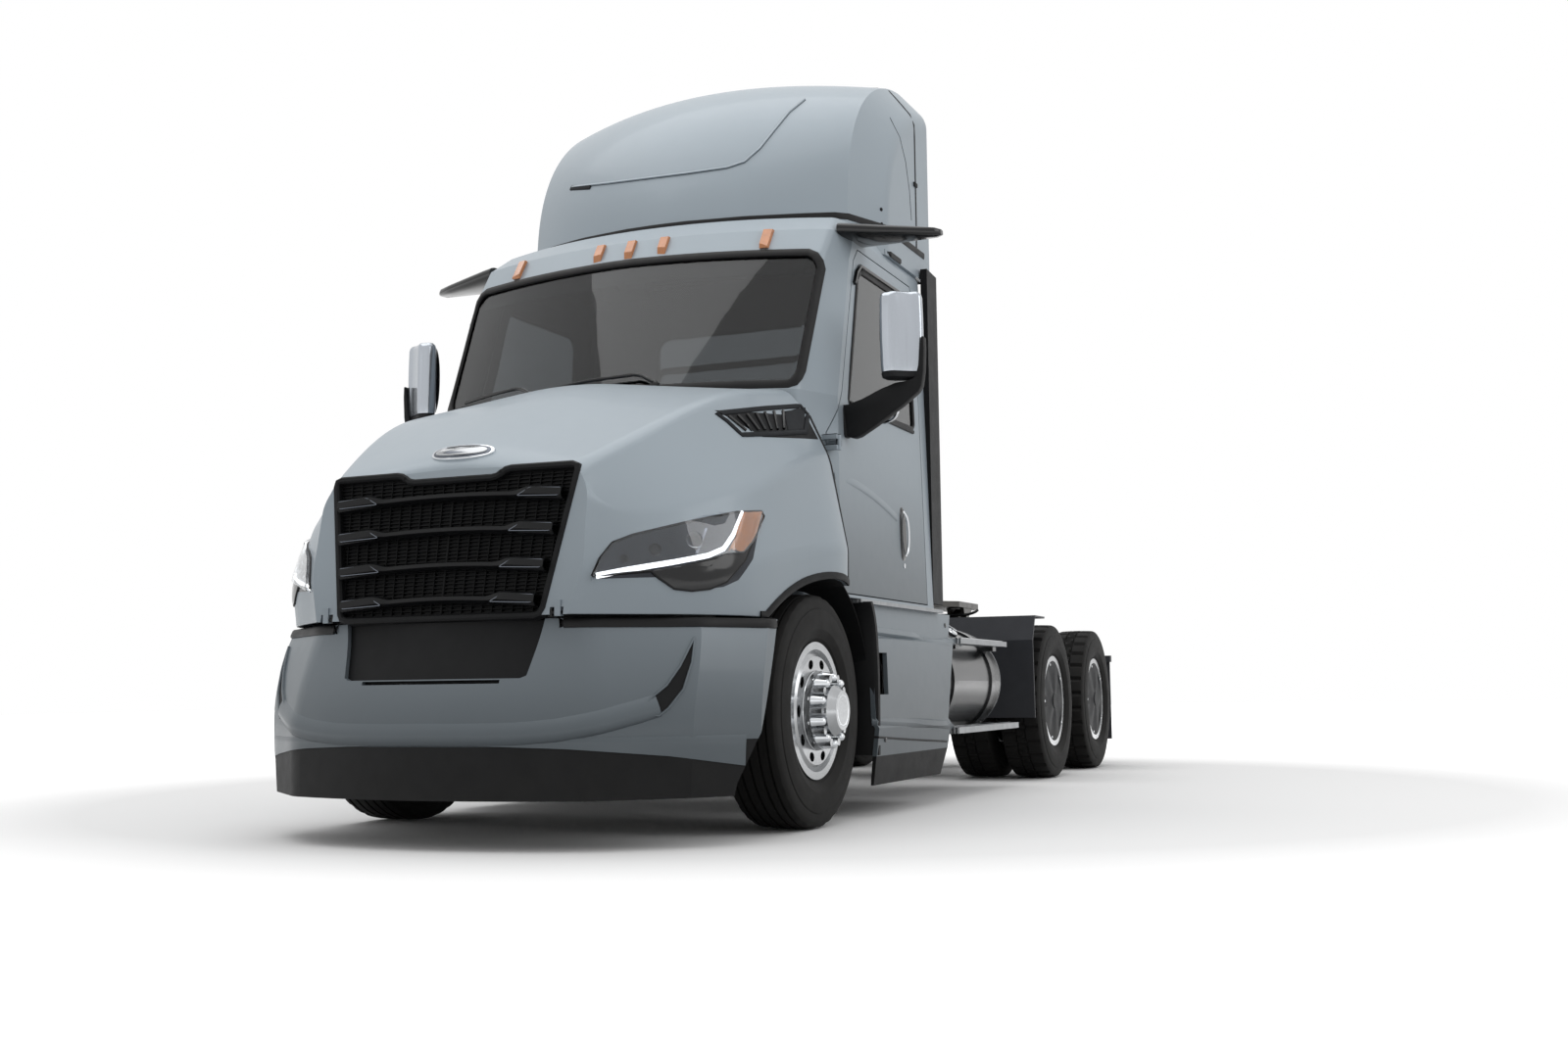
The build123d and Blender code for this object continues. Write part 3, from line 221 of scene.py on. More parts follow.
def addRelief(tree, where, mapping, kind, scale):
    link = tree.links.new
    if kind in ("tread", "weave"):  # raised diamonds, or warp and weft
        waves = []
        for turn, axis in ((45, "X"), (-45, "X")) if kind == "tread" else ((0, "X"), (0, "Z")):
            lean = addNode(tree, "Mapping", {"Rotation": (0, 0, math.radians(turn))})
            link(where.outputs["Object"], lean.inputs["Vector"])
            wave = addNode(tree, "TexWave", {"Scale": scale, "Distortion": 0 if turn else 0.6},
                           bands_direction=axis)
            link(lean.outputs[0], wave.inputs["Vector"])
            waves.append(wave.outputs["Fac"])
        return addMath(tree, "MULTIPLY" if kind == "tread" else "ADD", *waves)
    if kind == "flake":
        cells = addNode(tree, "TexVoronoi", {"Scale": scale})
        link(where.outputs["Object"], cells.inputs["Vector"])
        return cells.outputs["Color"]
    grain = addNode(tree, "TexNoise", {"Scale": scale, "Detail": 4})
    link(mapping.outputs[0], grain.inputs["Vector"])
    return grain.outputs["Fac"]


def newFinish(name, spec):
    material = bpy.data.materials.new(name)
    material.use_nodes = True
    tree = material.node_tree
    shader = tree.nodes["Principled BSDF"]
    link = tree.links.new
    shader.inputs["Metallic"].default_value = spec.get("metal", 0)
    shader.inputs["Coat Weight"].default_value = spec.get("coat", 0)
    shader.inputs["Coat Roughness"].default_value = spec.get("coatRough", 0.05)
    shader.inputs["Specular IOR Level"].default_value = spec.get("specular", 0.5)
    if spec.get("clear"):
        shader.inputs["Transmission Weight"].default_value = spec["clear"]
        shader.inputs["IOR"].default_value = 1.45
    where = addNode(tree, "TexCoord")
    mapping = addNode(tree, "Mapping", {"Scale": spec.get("stretch", (1, 1, 1))})
    link(where.outputs["Object"], mapping.inputs["Vector"])
    cloud = addNode(tree, "TexNoise", {"Scale": spec.get("varyScale", 3), "Detail": 6})
    link(mapping.outputs[0], cloud.inputs["Vector"])
    ramp = addNode(tree, "ValToRGB")
    vary, colour = spec["vary"], spec["colour"]
    for stop, position, share in zip(ramp.color_ramp.elements, (0.3, 0.7), (1 - vary, 1 + vary)):
        stop.position = position
        stop.color = [min(1, c * share) for c in colour] + [1]
    link(cloud.outputs["Fac"], ramp.inputs["Fac"])
    surface = ramp.outputs["Color"]
    if spec.get("dust"):
        surface = addDust(tree, where, surface, spec)
    # painted shade: the finish's colour gets darker towards the ground
    if spec.get("paintedShade"):
        surface = addPaintedShade(tree, where, surface, spec)
    link(surface, shader.inputs["Base Color"])
    smear = addNode(tree, "TexNoise", {"Scale": 14, "Detail": 5})
    link(mapping.outputs[0], smear.inputs["Vector"])
    rough, roughVary = spec["rough"], spec.get("roughVary", 0.05)
    sheen = addNode(tree, "MapRange", {"To Min": max(0.01, rough - roughVary),
                                       "To Max": min(1, rough + roughVary)})
    link(smear.outputs["Fac"], sheen.inputs["Value"])
    link(sheen.outputs[0], shader.inputs["Roughness"])
    kind, scale, depth = spec["relief"]
    bump = addNode(tree, "Bump", {"Distance": depth})
    if kind == "flake":
        bump.inputs["Strength"].default_value = 0.25
    link(addRelief(tree, where, mapping, kind, scale), bump.inputs["Height"])
    link(bump.outputs[0], shader.inputs["Normal"])
    if spec.get("glow"):
        shader.inputs["Emission Color"].default_value = (1, 1, 1, 1)
        shader.inputs["Emission Strength"].default_value = spec["glow"]
    return material


paintBase = dict(colour=(0.315, 0.365, 0.405), rough=0.46, roughVary=0.04, metal=0.15, coat=0.18,
                 coatRough=0.10, specular=0.35, vary=0.02, varyScale=1.2, relief=("flake", 900, 0.00004),
                 paintedShadeColour=(0.042, 0.053, 0.060))
finishes = dict(
    # the body paint and its two copies below are one paint with painted shade towards the ground; the copies
    # carry stronger painted shade
    bodyPaint=dict(paintBase, paintedShade=0.30, paintedShadeFrom=0.60, paintedShadeTo=1.30),
    bodyPaintLow=dict(paintBase, paintedShade=0.80, paintedShadeFrom=0.30, paintedShadeTo=1.60),
    bodyPaintSide=dict(paintBase, paintedShade=0.80, paintedShadeFrom=0.85, paintedShadeTo=1.95),
    blackPlastic=dict(colour=(0.0065, 0.0068, 0.0075), specular=0.16, rough=0.55, roughVary=0.08, vary=0.2,
                      varyScale=6, relief=("grain", 420, 0.0006), dust=0.12, dustTop=0.6),
    glossBlack=dict(colour=(0.005, 0.0053, 0.006), specular=0.4, rough=0.14, vary=0.15,
                    relief=("grain", 60, 0.0001)),
    trimDark=dict(colour=(0.016, 0.0165, 0.018), specular=0.2, rough=0.62, roughVary=0.07, vary=0.12,
                  relief=("grain", 520, 0.0008)),
    sealRubber=dict(colour=(0.007, 0.007, 0.0075), specular=0.2, rough=0.5, roughVary=0.1, vary=0.2,
                    relief=("grain", 200, 0.0004)),
    windowGlass=dict(colour=(0.20, 0.215, 0.225), specular=0.10, rough=0.02, roughVary=0.01, clear=1.0,
                     vary=0.01, relief=("grain", 2, 0.00002)),
    lampLens=dict(colour=(0.80, 0.83, 0.86), specular=0.3, rough=0.02, roughVary=0.01, clear=1.0, vary=0.01,
                  relief=("grain", 4, 0.00002)),
    lampHousing=dict(colour=(0.026, 0.030, 0.038), specular=0.3, rough=0.25, roughVary=0.06, metal=0.2,
                     vary=0.15, varyScale=9, relief=("grain", 70, 0.0003)),
    lampWhite=dict(colour=(0.95, 0.96, 1.0), rough=0.25, glow=1.6, vary=0.02, relief=("grain", 90, 0.0003)),
    lampAmber=dict(colour=(0.52, 0.17, 0.03), rough=0.16, coat=0.8, vary=0.12, varyScale=30,
                   relief=("grain", 120, 0.0006)),
    lampRed=dict(colour=(0.35, 0.012, 0.012), rough=0.15, coat=0.8, vary=0.1, varyScale=30,
                 relief=("grain", 120, 0.0006)),
    chrome=dict(colour=(0.62, 0.64, 0.66), rough=0.10, metal=1, vary=0.03, relief=("grain", 3, 0.0006)),
    polished=dict(colour=(0.40, 0.41, 0.42), rough=0.21, roughVary=0.07, metal=1, vary=0.06, varyScale=12,
                  relief=("grain", 160, 0.0002), dust=0.12),
    tankMetal=dict(colour=(0.080, 0.081, 0.083), rough=0.24, roughVary=0.07, metal=1, vary=0.08, varyScale=8,
                   stretch=(1, 0.2, 1), relief=("grain", 120, 0.0002), dust=0.12),
    polishedDark=dict(colour=(0.12, 0.13, 0.15), rough=0.2, metal=1, vary=0.08,
                      relief=("grain", 40, 0.0002)),
    meshBlack=dict(colour=(0.0035, 0.0036, 0.004), specular=0.12, rough=0.5, roughVary=0.08, vary=0.3,
                   varyScale=4, relief=("grain", 200, 0.0004)),
    barBlack=dict(colour=(0.0055, 0.0058, 0.0065), specular=0.2, rough=0.34, roughVary=0.06, vary=0.2,
                  relief=("grain", 120, 0.0003)),
    treadPlate=dict(colour=(0.27, 0.28, 0.29), rough=0.36, roughVary=0.1, metal=1, vary=0.1, varyScale=20,
                    relief=("tread", 22, 0.0016), dust=0.2),
    frameBlack=dict(colour=(0.009, 0.0095, 0.010), specular=0.22, rough=0.42, roughVary=0.12, vary=0.25,
                    varyScale=5, relief=("grain", 60, 0.0006), dust=0.3, dustTop=1.0),
    castIron=dict(colour=(0.028, 0.028, 0.028), specular=0.25, rough=0.66, roughVary=0.1, vary=0.3,
                  varyScale=10, relief=("grain", 90, 0.002), dust=0.25),
    greasedSteel=dict(colour=(0.075, 0.072, 0.068), rough=0.36, roughVary=0.18, metal=0.8, vary=0.3,
                      varyScale=9, relief=("grain", 30, 0.001)),
    tyreRubber=dict(colour=(0.0085, 0.0083, 0.0082), specular=0.16, rough=0.70, roughVary=0.1, vary=0.2,
                    varyScale=7, relief=("grain", 350, 0.0006), dust=0.1, dustTop=1.2),
    seatCloth=dict(colour=(0.055, 0.058, 0.062), rough=0.85, vary=0.15, varyScale=30,
                   relief=("weave", 90, 0.0012)),
    guardGrey=dict(colour=(0.040, 0.042, 0.048), specular=0.2, rough=0.45, roughVary=0.08, vary=0.12,
                   varyScale=5, relief=("grain", 200, 0.0006), dust=0.2),
    coverDark=dict(colour=(0.012, 0.0132, 0.0155), specular=0.1, rough=0.5, roughVary=0.1, vary=0.15,
                   varyScale=8, relief=("grain", 200, 0.0006), dust=0.25),
    mirrorChrome=dict(colour=(0.43, 0.46, 0.50), rough=0.20, roughVary=0.06, metal=0.85, vary=0.04,
                      varyScale=4, stretch=(6, 6, 0.4), relief=("grain", 5, 0.0012)),
    mirrorSilver=dict(colour=(0.80, 0.83, 0.85), rough=0.03, roughVary=0.02, metal=1, vary=0.02,
                      relief=("grain", 2, 0.0001)))
finish = {name: newFinish(name, spec) for name, spec in finishes.items()}
print("finishes ready:", len(finish))

nodeFinish = dict(
    bodyPaint="cab_shell roof_fairing hood",
    # the bumper, side fairings and doors take the copies with stronger painted shade
    bodyPaintLow="front_bumper side_fairings",
    bodyPaintSide="door_left door_right",
    blackPlastic="air_dam cab_extenders fairing_skirts hood_vents",
    guardGrey="mud_guards",
    glossBlack="grille mirror_cameras",
    trimDark="dashboard steering_wheel",
    windowGlass="cab_glass door_glass_left door_glass_right",
    lampHousing="headlamps",
    lampAmber="marker_lamps",
    lampRed="tail_lamps",
    chrome="mirror_left mirror_right",
    tankMetal="fuel_tanks tank_cradles",
    polished="front_wheel_left front_wheel_right rear_wheel_1_left rear_wheel_1_right "
             "rear_wheel_2_left rear_wheel_2_right",
    treadPlate="side_steps deck_plate",
    frameBlack="frame_rails crossmembers front_axle drive_axles",
    castIron="engine_block knuckle_left knuckle_right suspension",
    greasedSteel="driveline fifth_wheel_base fifth_wheel_plate tie_rod radiator",
    tyreRubber="front_tyre_left front_tyre_right rear_tyres_1_left rear_tyres_1_right "
               "rear_tyres_2_left rear_tyres_2_right",
    seatCloth="seats")
for key, names in nodeFinish.items():
    for name in names.split():
        nodes[name].data.materials.clear()
        nodes[name].data.materials.append(finish[key])
print("every node has its finish")


# modelling helpers
def pick(piece):
    bpy.ops.object.select_all(action="DESELECT")
    piece.select_set(True)
    bpy.context.view_layer.objects.active = piece


def editAll(piece):
    pick(piece)
    bpy.ops.object.mode_set(mode="EDIT")
    bpy.ops.mesh.select_all(action="SELECT")


def closeUp(piece, cap=True):
    editAll(piece)
    bpy.ops.mesh.remove_doubles(threshold=0.00002)
    bpy.ops.mesh.dissolve_degenerate(threshold=0.00001)
    if cap:
        bpy.ops.mesh.select_all(action="SELECT")
        bpy.ops.mesh.fill_holes(sides=0)
    bpy.ops.mesh.select_all(action="SELECT")
    bpy.ops.mesh.normals_make_consistent(inside=False)
    bpy.ops.object.mode_set(mode="OBJECT")


def gridPiece(rows, ring=False, cap=False):
    across = len(rows[0]) + (1 if ring else 0)
    bpy.ops.mesh.primitive_grid_add(x_subdivisions=across - 1, y_subdivisions=len(rows) - 1, size=1)
    piece = bpy.context.active_object
    points = [row[i % len(row)] for row in rows for i in range(across)]
    for vertex, point in zip(piece.data.vertices, points):
        vertex.co = point
    if ring or cap:
        closeUp(piece, cap)
    return piece


def platePiece(outline, depth):
    bpy.ops.mesh.primitive_circle_add(vertices=len(outline), radius=1, fill_type="NGON")
    piece = bpy.context.active_object
    for vertex, point in zip(piece.data.vertices, outline):
        vertex.co = point
    editAll(piece)
    bpy.ops.mesh.extrude_region_move(TRANSFORM_OT_translate={"value": depth})
    bpy.ops.mesh.select_all(action="SELECT")
    bpy.ops.mesh.normals_make_consistent(inside=False)
    bpy.ops.object.mode_set(mode="OBJECT")
    return piece


def blockPiece(centre, size, turn=(0, 0, 0)):
    bpy.ops.mesh.primitive_cube_add(size=1)
    piece = bpy.context.active_object
    piece.scale = size
    piece.rotation_euler = [math.radians(t) for t in turn]
    piece.location = centre
    bpy.ops.object.transform_apply(location=True, rotation=True, scale=True)
    return piece


def circle(steps, shift=0.0):
    turns = [2 * math.pi * (k + shift) / steps for k in range(steps)]
    return [(math.cos(turn), math.sin(turn)) for turn in turns]


def turnedPiece(profile, centre, axis, steps=32, capped=True):
    axis = Vector(axis).normalized()
    side = axis.orthogonal().normalized()
    other = axis.cross(side)
    rings = []
    for reach, radius in profile:
        middle = Vector(centre) + axis * reach
        rings.append([middle + radius * (c * side + s * other) for c, s in circle(steps)])
    return gridPiece(rings, ring=True, cap=capped)


def softened(points, closed=False, rounds=2):
    for _ in range(rounds):
        cut = [] if closed else [points[0]]
        for a, b in zip(points, points[1:] + (points[:1] if closed else [])):
            cut += [a.lerp(b, 0.25), a.lerp(b, 0.75)]
        if not closed:
            cut.append(points[-1])
        points = cut
    return points


def spaced(points, step):
    out = [points[0]]
    for a, b in zip(points, points[1:]):
        count = max(1, int((b - a).length / step))
        out += [a.lerp(b, k / count) for k in range(1, count + 1)]
    return out


def swept(points, profile, normals=None, closed=False):
    count = len(points)
    rings, last = [], None
    for i, point in enumerate(points):
        before = points[(i - 1) % count] if closed or i else point
        after = points[(i + 1) % count] if closed or i < count - 1 else point
        ahead = (after - before).normalized()
        up = normals[i] if normals else last or ahead.orthogonal()
        up = (up - up.dot(ahead) * ahead).normalized()
        last = up
        side = ahead.cross(up)
        rings.append([point + side * s + up * u for s, u in profile])
    if closed:
        rings.append(rings[0])
    return gridPiece(rings, ring=True, cap=not closed)


def roundProfile(radius, steps=10):
    return [(radius * c, radius * s) for c, s in circle(steps)]


def stripProfile(width, height, sink=0.004):
    half, low = width / 2, height * 0.55
    return [(-half, -sink), (-half, low), (-half * 0.6, height), (half * 0.6, height), (half, low),
            (half, -sink)]


def settled(piece, name, finishName, body="chassis", bevel=0, thickness=0, levels=0, smooth=35):
    pick(piece)
    if thickness:
        wall = piece.modifiers.new("wall", "SOLIDIFY")
        wall.thickness, wall.offset = thickness, -1
        bpy.ops.object.modifier_apply(modifier="wall")
    if bevel:
        edge = piece.modifiers.new("edge", "BEVEL")
        edge.width, edge.segments, edge.limit_method = bevel, 2, "ANGLE"
        edge.angle_limit = math.radians(28)
        bpy.ops.object.modifier_apply(modifier="edge")
    if levels:
        soft = piece.modifiers.new("soft", "SUBSURF")
        soft.levels = soft.render_levels = levels
        bpy.ops.object.modifier_apply(modifier="soft")
    bpy.ops.object.shade_smooth_by_angle(angle=math.radians(smooth))
    piece.name = piece.data.name = name
    piece.data.materials.clear()
    piece.data.materials.append(finish[finishName])
    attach(piece, body)
    return piece


def strip(path, name, finishName, width, height, body="chassis", sink=0.004, closed=False):
    places, normals = path
    return settled(swept(places, stripProfile(width, height, sink), normals, closed), name, finishName, body)


def mirrored(piece, body=None):
    twin = piece.copy()
    twin.data = piece.data.copy()
    twin.pop("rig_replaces", None)
    bpy.context.scene.collection.objects.link(twin)
    twin.parent = None
    twin.matrix_world = Matrix.Identity(4)
    twin.data.transform(Matrix.Diagonal((-1, 1, 1, 1)))
    twin.data.flip_normals()
    name = piece.name.replace("Left", "Right") if "Left" in piece.name else piece.name + "Right"
    twin.name = twin.data.name = name
    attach(twin, body or piece["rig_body"])
    return twin


def joined(pieces, name):
    bpy.ops.object.select_all(action="DESELECT")
    for piece in pieces:
        piece.select_set(True)
    bpy.context.view_layer.objects.active = pieces[0]
    bpy.ops.object.join()
    whole = bpy.context.active_object
    whole.name = whole.data.name = name
    return whole


def at(x, behind, z):
    return Vector((x, frontAxle + behind, z))


def fromFront(x, z):  # a start well ahead of the truck
    return Vector((x, -8, z))


def fromSide(sign, behind, z):  # a start well to one side
    return at(sign * 3, behind, z)


def skinOf(*names):
    points, faces = [], []
    for name in names:
        mesh = nodes[name].data
        start = len(points)
        points += [v.co.copy() for v in mesh.vertices]
        faces += [[start + i for i in p.vertices] for p in mesh.polygons]
    return BVHTree.FromPolygons(points, faces)


def cast(skin, start, direction, lift=0.0):
    place, normal, _, _ = skin.ray_cast(Vector(start), Vector(direction).normalized())
    if place is None:
        return None, None
    if normal.dot(Vector(direction)) > 0:
        normal = -normal
    return place + normal * lift, normal


def castSide(skin, sign, behind, z, lift=0.0):
    return cast(skin, fromSide(sign, behind, z), (-sign, 0, 0), lift)


def castInward(skin, centre, outs, reach):
    hits = [cast(skin, centre + out * reach, -out) for out in outs]
    return [hit for hit in hits if hit[0] is not None]


def evened(normals, rounds=3):
    for _ in range(rounds):
        padded = normals[:1] + normals + normals[-1:]
        normals = [(a + b + c).normalized() for a, b, c in zip(padded, padded[1:], padded[2:])]
    return normals


def parted(hits, rounds=3):
    return [place for place, _ in hits], evened([normal for _, normal in hits], rounds)


def castPath(skin, starts, direction, lift=0.0):
    hits = [cast(skin, start, direction, lift) for start in starts]
    return parted([hit for hit in hits if hit[0] is not None])


def seenPath(skin, pixels, lift=0.0):
    spots = []
    for (ax, ay), (bx, by) in zip(pixels, pixels[1:]):
        count = max(2, int(math.hypot(bx - ax, by - ay) / 4))
        spots += [(ax + (bx - ax) * k / count, ay + (by - ay) * k / count) for k in range(count)]
    hits = [cast(skin, *seenRay(px, py), lift) for px, py in spots + pixels[-1:]]
    return parted([hit for hit in hits if hit[0] is not None])


def twoSided(half):  # a half path, after its mirror image
    def flipped(v):
        return Vector((-v.x, v.y, v.z))
    return [(flipped(place), flipped(normal)) for place, normal in reversed(half)] + half


def along(pixels, share):
    lengths = [math.hypot(b[0] - a[0], b[1] - a[1]) for a, b in zip(pixels, pixels[1:])]
    left = share * sum(lengths)
    for (a, b), length in zip(zip(pixels, pixels[1:]), lengths):
        if left <= length or b is pixels[-1]:
            t = min(1, left / length)
            return a[0] + (b[0] - a[0]) * t, a[1] + (b[1] - a[1]) * t
        left -= length


def seenPatch(skin, upper, lower, lift, columns=26, rows=6):
    grid, spare = [], None
    for r in range(rows + 1):
        row = []
        for c in range(columns + 1):
            a, b = along(upper, c / columns), along(lower, c / columns)
            t = r / rows
            place, _ = cast(skin, *seenRay(a[0] + (b[0] - a[0]) * t, a[1] + (b[1] - a[1]) * t), lift)
            spare = place or spare
            row.append(spare)
        grid.append(row)
    return gridPiece(grid)


# cab
bodySkin = skinOf("cab_shell", "cab_glass")
frontSkin = skinOf("hood", "headlamps", "hood_vents", "grille", "front_bumper", "air_dam")
screenSeal = dict(
    outline=[(0, 2.010), (0.938, 2.008), (0.962, 2.06), (0.977, 2.64), (0.932, 2.705), (0, 2.718)],
    width=0.046, height=0.011, bandHalf=0.90, bandHeights=(2.695, 2.600), bandSink=0.012)
doorPane = dict(
    outline=[(0.640, 1.975), (0.850, 2.640), (0.900, 2.690), (1.600, 2.690), (1.655, 2.640), (1.655, 1.990)],
    width=0.026, height=0.007, dripLine=[(0.79, 2.60), (0.83, 2.665), (0.89, 2.71), (1.62, 2.712)],
    dripWidth=0.022, dripHeight=0.016)


def addScreenSeal():
    half = screenSeal["outline"]
    loop = [fromFront(x, z) for x, z in half] + [fromFront(-x, z) for x, z in reversed(half[1:-1])]
    loop = softened(spaced(loop + loop[:1], 0.08)[:-1], closed=True, rounds=1)
    strip(castPath(bodySkin, loop, toRear), "screenSeal", "sealRubber", screenSeal["width"],
          screenSeal["height"], closed=True)
    spots = [screenSeal["bandHalf"] * (k / 16 - 1) for k in range(33)]
    band = [[cast(bodySkin, fromFront(x, z), toRear, -screenSeal["bandSink"])[0] for x in spots]
            for z in screenSeal["bandHeights"]]  # shaded band along the top of the glass
    settled(gridPiece(band), "screenShade", "glossBlack", thickness=0.002)


def addDoorSeals():
    for sign, label in sides:
        body = "door_" + label.lower()
        skin = skinOf(body, "door_glass_" + label.lower())
        inward = (-sign, 0, 0)
        loop = [fromSide(sign, y, z) for y, z in doorPane["outline"]]
        loop = softened(spaced(loop + loop[:1], 0.07)[:-1], closed=True)
        strip(castPath(skin, loop, inward), "doorPaneSeal" + label, "sealRubber", doorPane["width"],
              doorPane["height"], body, closed=True)
        slope = spaced([fromSide(sign, y, z) for y, z in doorPane["dripLine"]], 0.05)
        strip(castPath(skin, slope, inward), "doorDripRail" + label, "glossBlack", doorPane["dripWidth"],
              doorPane["dripHeight"], body)


def addLining(source, name, body, centre):  # the faces that look inwards, pushed in a little
    twin = nodes[source].copy()
    twin.data = nodes[source].data.copy()
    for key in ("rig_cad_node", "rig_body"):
        twin.pop(key, None)
    bpy.context.scene.collection.objects.link(twin)
    twin.parent = None
    closeUp(twin, cap=False)
    bpy.context.tool_settings.mesh_select_mode = (False, False, True)
    for polygon in twin.data.polygons:
        polygon.select = (centre - polygon.center).normalized().dot(polygon.normal) < 0.12
    pick(twin)
    bpy.ops.object.mode_set(mode="EDIT")
    bpy.ops.mesh.delete(type="FACE")
    bpy.ops.mesh.select_all(action="SELECT")
    bpy.ops.transform.shrink_fatten(value=0.003)
    bpy.ops.mesh.select_mode(type="VERT")
    bpy.ops.object.mode_set(mode="OBJECT")
    settled(twin, name, "trimDark", body)


addScreenSeal()
addDoorSeals()
addLining("cab_shell", "cabLining", "chassis", at(0, 1.1, 2.0))
addLining("door_left", "doorLiningLeft", "door_left", at(0, 1.1, 1.9))
addLining("door_right", "doorLiningRight", "door_right", at(0, 1.1, 1.9))
print("cab seals and lining done")

wiper = dict(rods=[[(0.30, 2.030), (0.22, 2.075), (-0.05, 2.062), (-0.25, 2.040)],
                   [(-0.36, 2.030), (-0.44, 2.070), (-0.62, 2.056), (-0.80, 2.036)]],
             armRadius=0.008, armLift=0.030, bladeLift=0.012, bladeDrop=0.012,
             cap=[(-0.01, 0.024), (0.012, 0.024), (0.026, 0.018), (0.032, 0.008), (0.033, 0)])


def addWipers():
    parts = []
    for rod in wiper["rods"]:
        (startX, startZ), (endX, endZ) = rod[0], rod[-1]
        starts = spaced([fromFront(x, z) for x, z in rod], 0.05)
        places, _ = castPath(bodySkin, starts, toRear, wiper["armLift"])
        arm = settled(swept(softened(places), roundProfile(wiper["armRadius"], 8)), "wiperArm", "glossBlack")
        drop = wiper["bladeDrop"]
        blade = spaced([fromFront(startX - 0.02, startZ - drop),
                        fromFront(endX - 0.03, endZ - drop - 0.004)], 0.04)
        edge = strip(castPath(bodySkin, blade, toRear, wiper["bladeLift"]), "wiperBlade", "sealRubber",
                     0.018, 0.012, sink=0.006)
        root, normal = cast(bodySkin, fromFront(startX, startZ - 0.004), toRear)
        cap = settled(turnedPiece(wiper["cap"], root, normal, 20), "wiperPivot", "glossBlack")
        parts += [arm, edge, cap]
    joined(parts, "wipers")


cameraPod = dict(x=-0.005, z=2.5825, wide=0.26, deep=0.10, tall=0.075, behindGlass=0.03, lean=-24,
                 eye=[(0, 0.024), (0.012, 0.024), (0.014, 0.016), (0.010, 0.014), (0.010, 0)])


def addCameraPod():
    front, _ = cast(bodySkin, fromFront(0, 2.58), toRear)
    middle = Vector((cameraPod["x"], front.y + cameraPod["behindGlass"] + cameraPod["deep"] / 2,
                     cameraPod["z"]))
    pod = blockPiece(middle, (cameraPod["wide"], cameraPod["deep"], cameraPod["tall"]),
                     (cameraPod["lean"], 0, 0))
    pod = settled(pod, "cameraPod", "trimDark", bevel=0.018)
    eye = turnedPiece(cameraPod["eye"], middle + Vector((0, -0.045, 0.012)), (0, -0.92, 0.38), 20)
    joined([pod, settled(eye, "cameraEye", "glossBlack")], "cameraPod")


roofTrim = dict(  # pixels are in the viewer's frame
    seamBehind=1.83, seamWidth=0.018, base=2.905, lipBehind=1.45, lipHeight=2.895, endBehind=1.95,
    latch=(0.022, 0.052, 0.026), bolts=[(3.10, 1.62), (3.02, 1.62), (3.12, 1.30), (3.04, 1.30)],
    bolt=[(-0.002, 0.010), (0.003, 0.010), (0.006, 0.006), (0.006, 0)],
    scoopPixels=[(584, 192), (620, 188), (700, 178), (742, 172), (760, 166), (776, 152), (792, 132),
                 (806, 115), (822, 102)],
    scoopLip=[(-0.016, -0.002), (-0.012, 0.005), (-0.002, 0.009), (0.001, 0.001), (0.003, -0.003)],
    sidePixels=[(908, 120), (918, 140), (924, 165), (928, 195), (930, 225)],
    notchPixels=[(583, 192), (603, 191)],
    basePixels=[(556, 250), (600, 242), (650, 235), (700, 229), (760, 224), (820, 221), (852, 220)])


def addRoofSeams():
    skin = skinOf("roof_fairing")
    y = frontAxle + roofTrim["seamBehind"]
    turns = [math.radians(k) for k in range(-4, 185, 3)]
    hits = castInward(skin, Vector((0, y, 3.1)), [Vector((math.cos(a), 0, math.sin(a))) for a in turns], 2.5)
    hits = [hit for hit in hits if hit[0].z > roofTrim["base"]]
    strip(parted(hits), "roofSeam", "sealRubber", roofTrim["seamWidth"], 0.003)
    # black seal round the fairing front, also standing in for painted shade in the gap above the visor
    turns = [math.radians(k) for k in range(-97, 98, 3)]
    centre = at(0, roofTrim["lipBehind"], roofTrim["lipHeight"])
    hits = castInward(skin, centre, [Vector((math.sin(a), -math.cos(a), 0)) for a in turns], 3)
    strip(parted(hits), "roofLipSealAndShade", "sealRubber", 0.030, 0.010)
    fixings = []
    for sign, _ in sides:
        place, _ = castSide(skin, sign, roofTrim["seamBehind"] - 0.012, 3.40)
        latch = blockPiece(place, roofTrim["latch"])
        fixings.append(settled(latch, "roofLatch", "blackPlastic", bevel=0.006))
        for z, behind in roofTrim["bolts"]:
            bolt = turnedPiece(roofTrim["bolt"], *castSide(skin, sign, behind, z), 12)
            fixings.append(settled(bolt, "roofBolt", "blackPlastic"))
    joined(fixings, "roofFixings")


def addRoofLines():
    skin = skinOf("roof_fairing")
    places, normals = seenPath(skin, roofTrim["scoopPixels"])
    ups = evened([cast(skin, p + n * 0.3, -n)[1] or n for p, n in zip(places, normals)], 6)
    settled(swept(places, roofTrim["scoopLip"], ups), "roofScoop", "bodyPaint", smooth=70)
    # painted shade: thin dark lines along the scoop crease, down the side and in the notch stand in for the
    # shade there
    line = [p + n * 0.0008 for p, n in zip(places, normals)]
    strip((line, ups), "roofScoopPaintedShade", "coverDark", 0.0045, 0.0012, sink=0.002)
    sideLine = seenPath(skin, roofTrim["sidePixels"])
    mirrored(strip(sideLine, "roofSideLineLeft", "coverDark", 0.004, 0.0015, sink=0.002))
    strip(seenPath(skin, roofTrim["notchPixels"]), "roofNotchPaintedShade", "coverDark", 0.030, 0.006)
    # black seal along the fairing base, laid on the dark band above the visor: part seal, part painted shade
    # in the gap
    half = [(p, n) for p, n in zip(*seenPath(skin, roofTrim["basePixels"])) if p.x > 0.02]
    y, z = half[-1][0].y, half[-1][0].z
    while y < frontAxle + roofTrim["endBehind"]:
        y += 0.05
        hit = cast(skin, (3, y, z), (-1, 0, 0))
        if hit[0] is None:
            break
        half.append(hit)
    strip(parted(twoSided(half), 4), "roofBaseSealAndShade", "sealRubber", 0.034, 0.006)


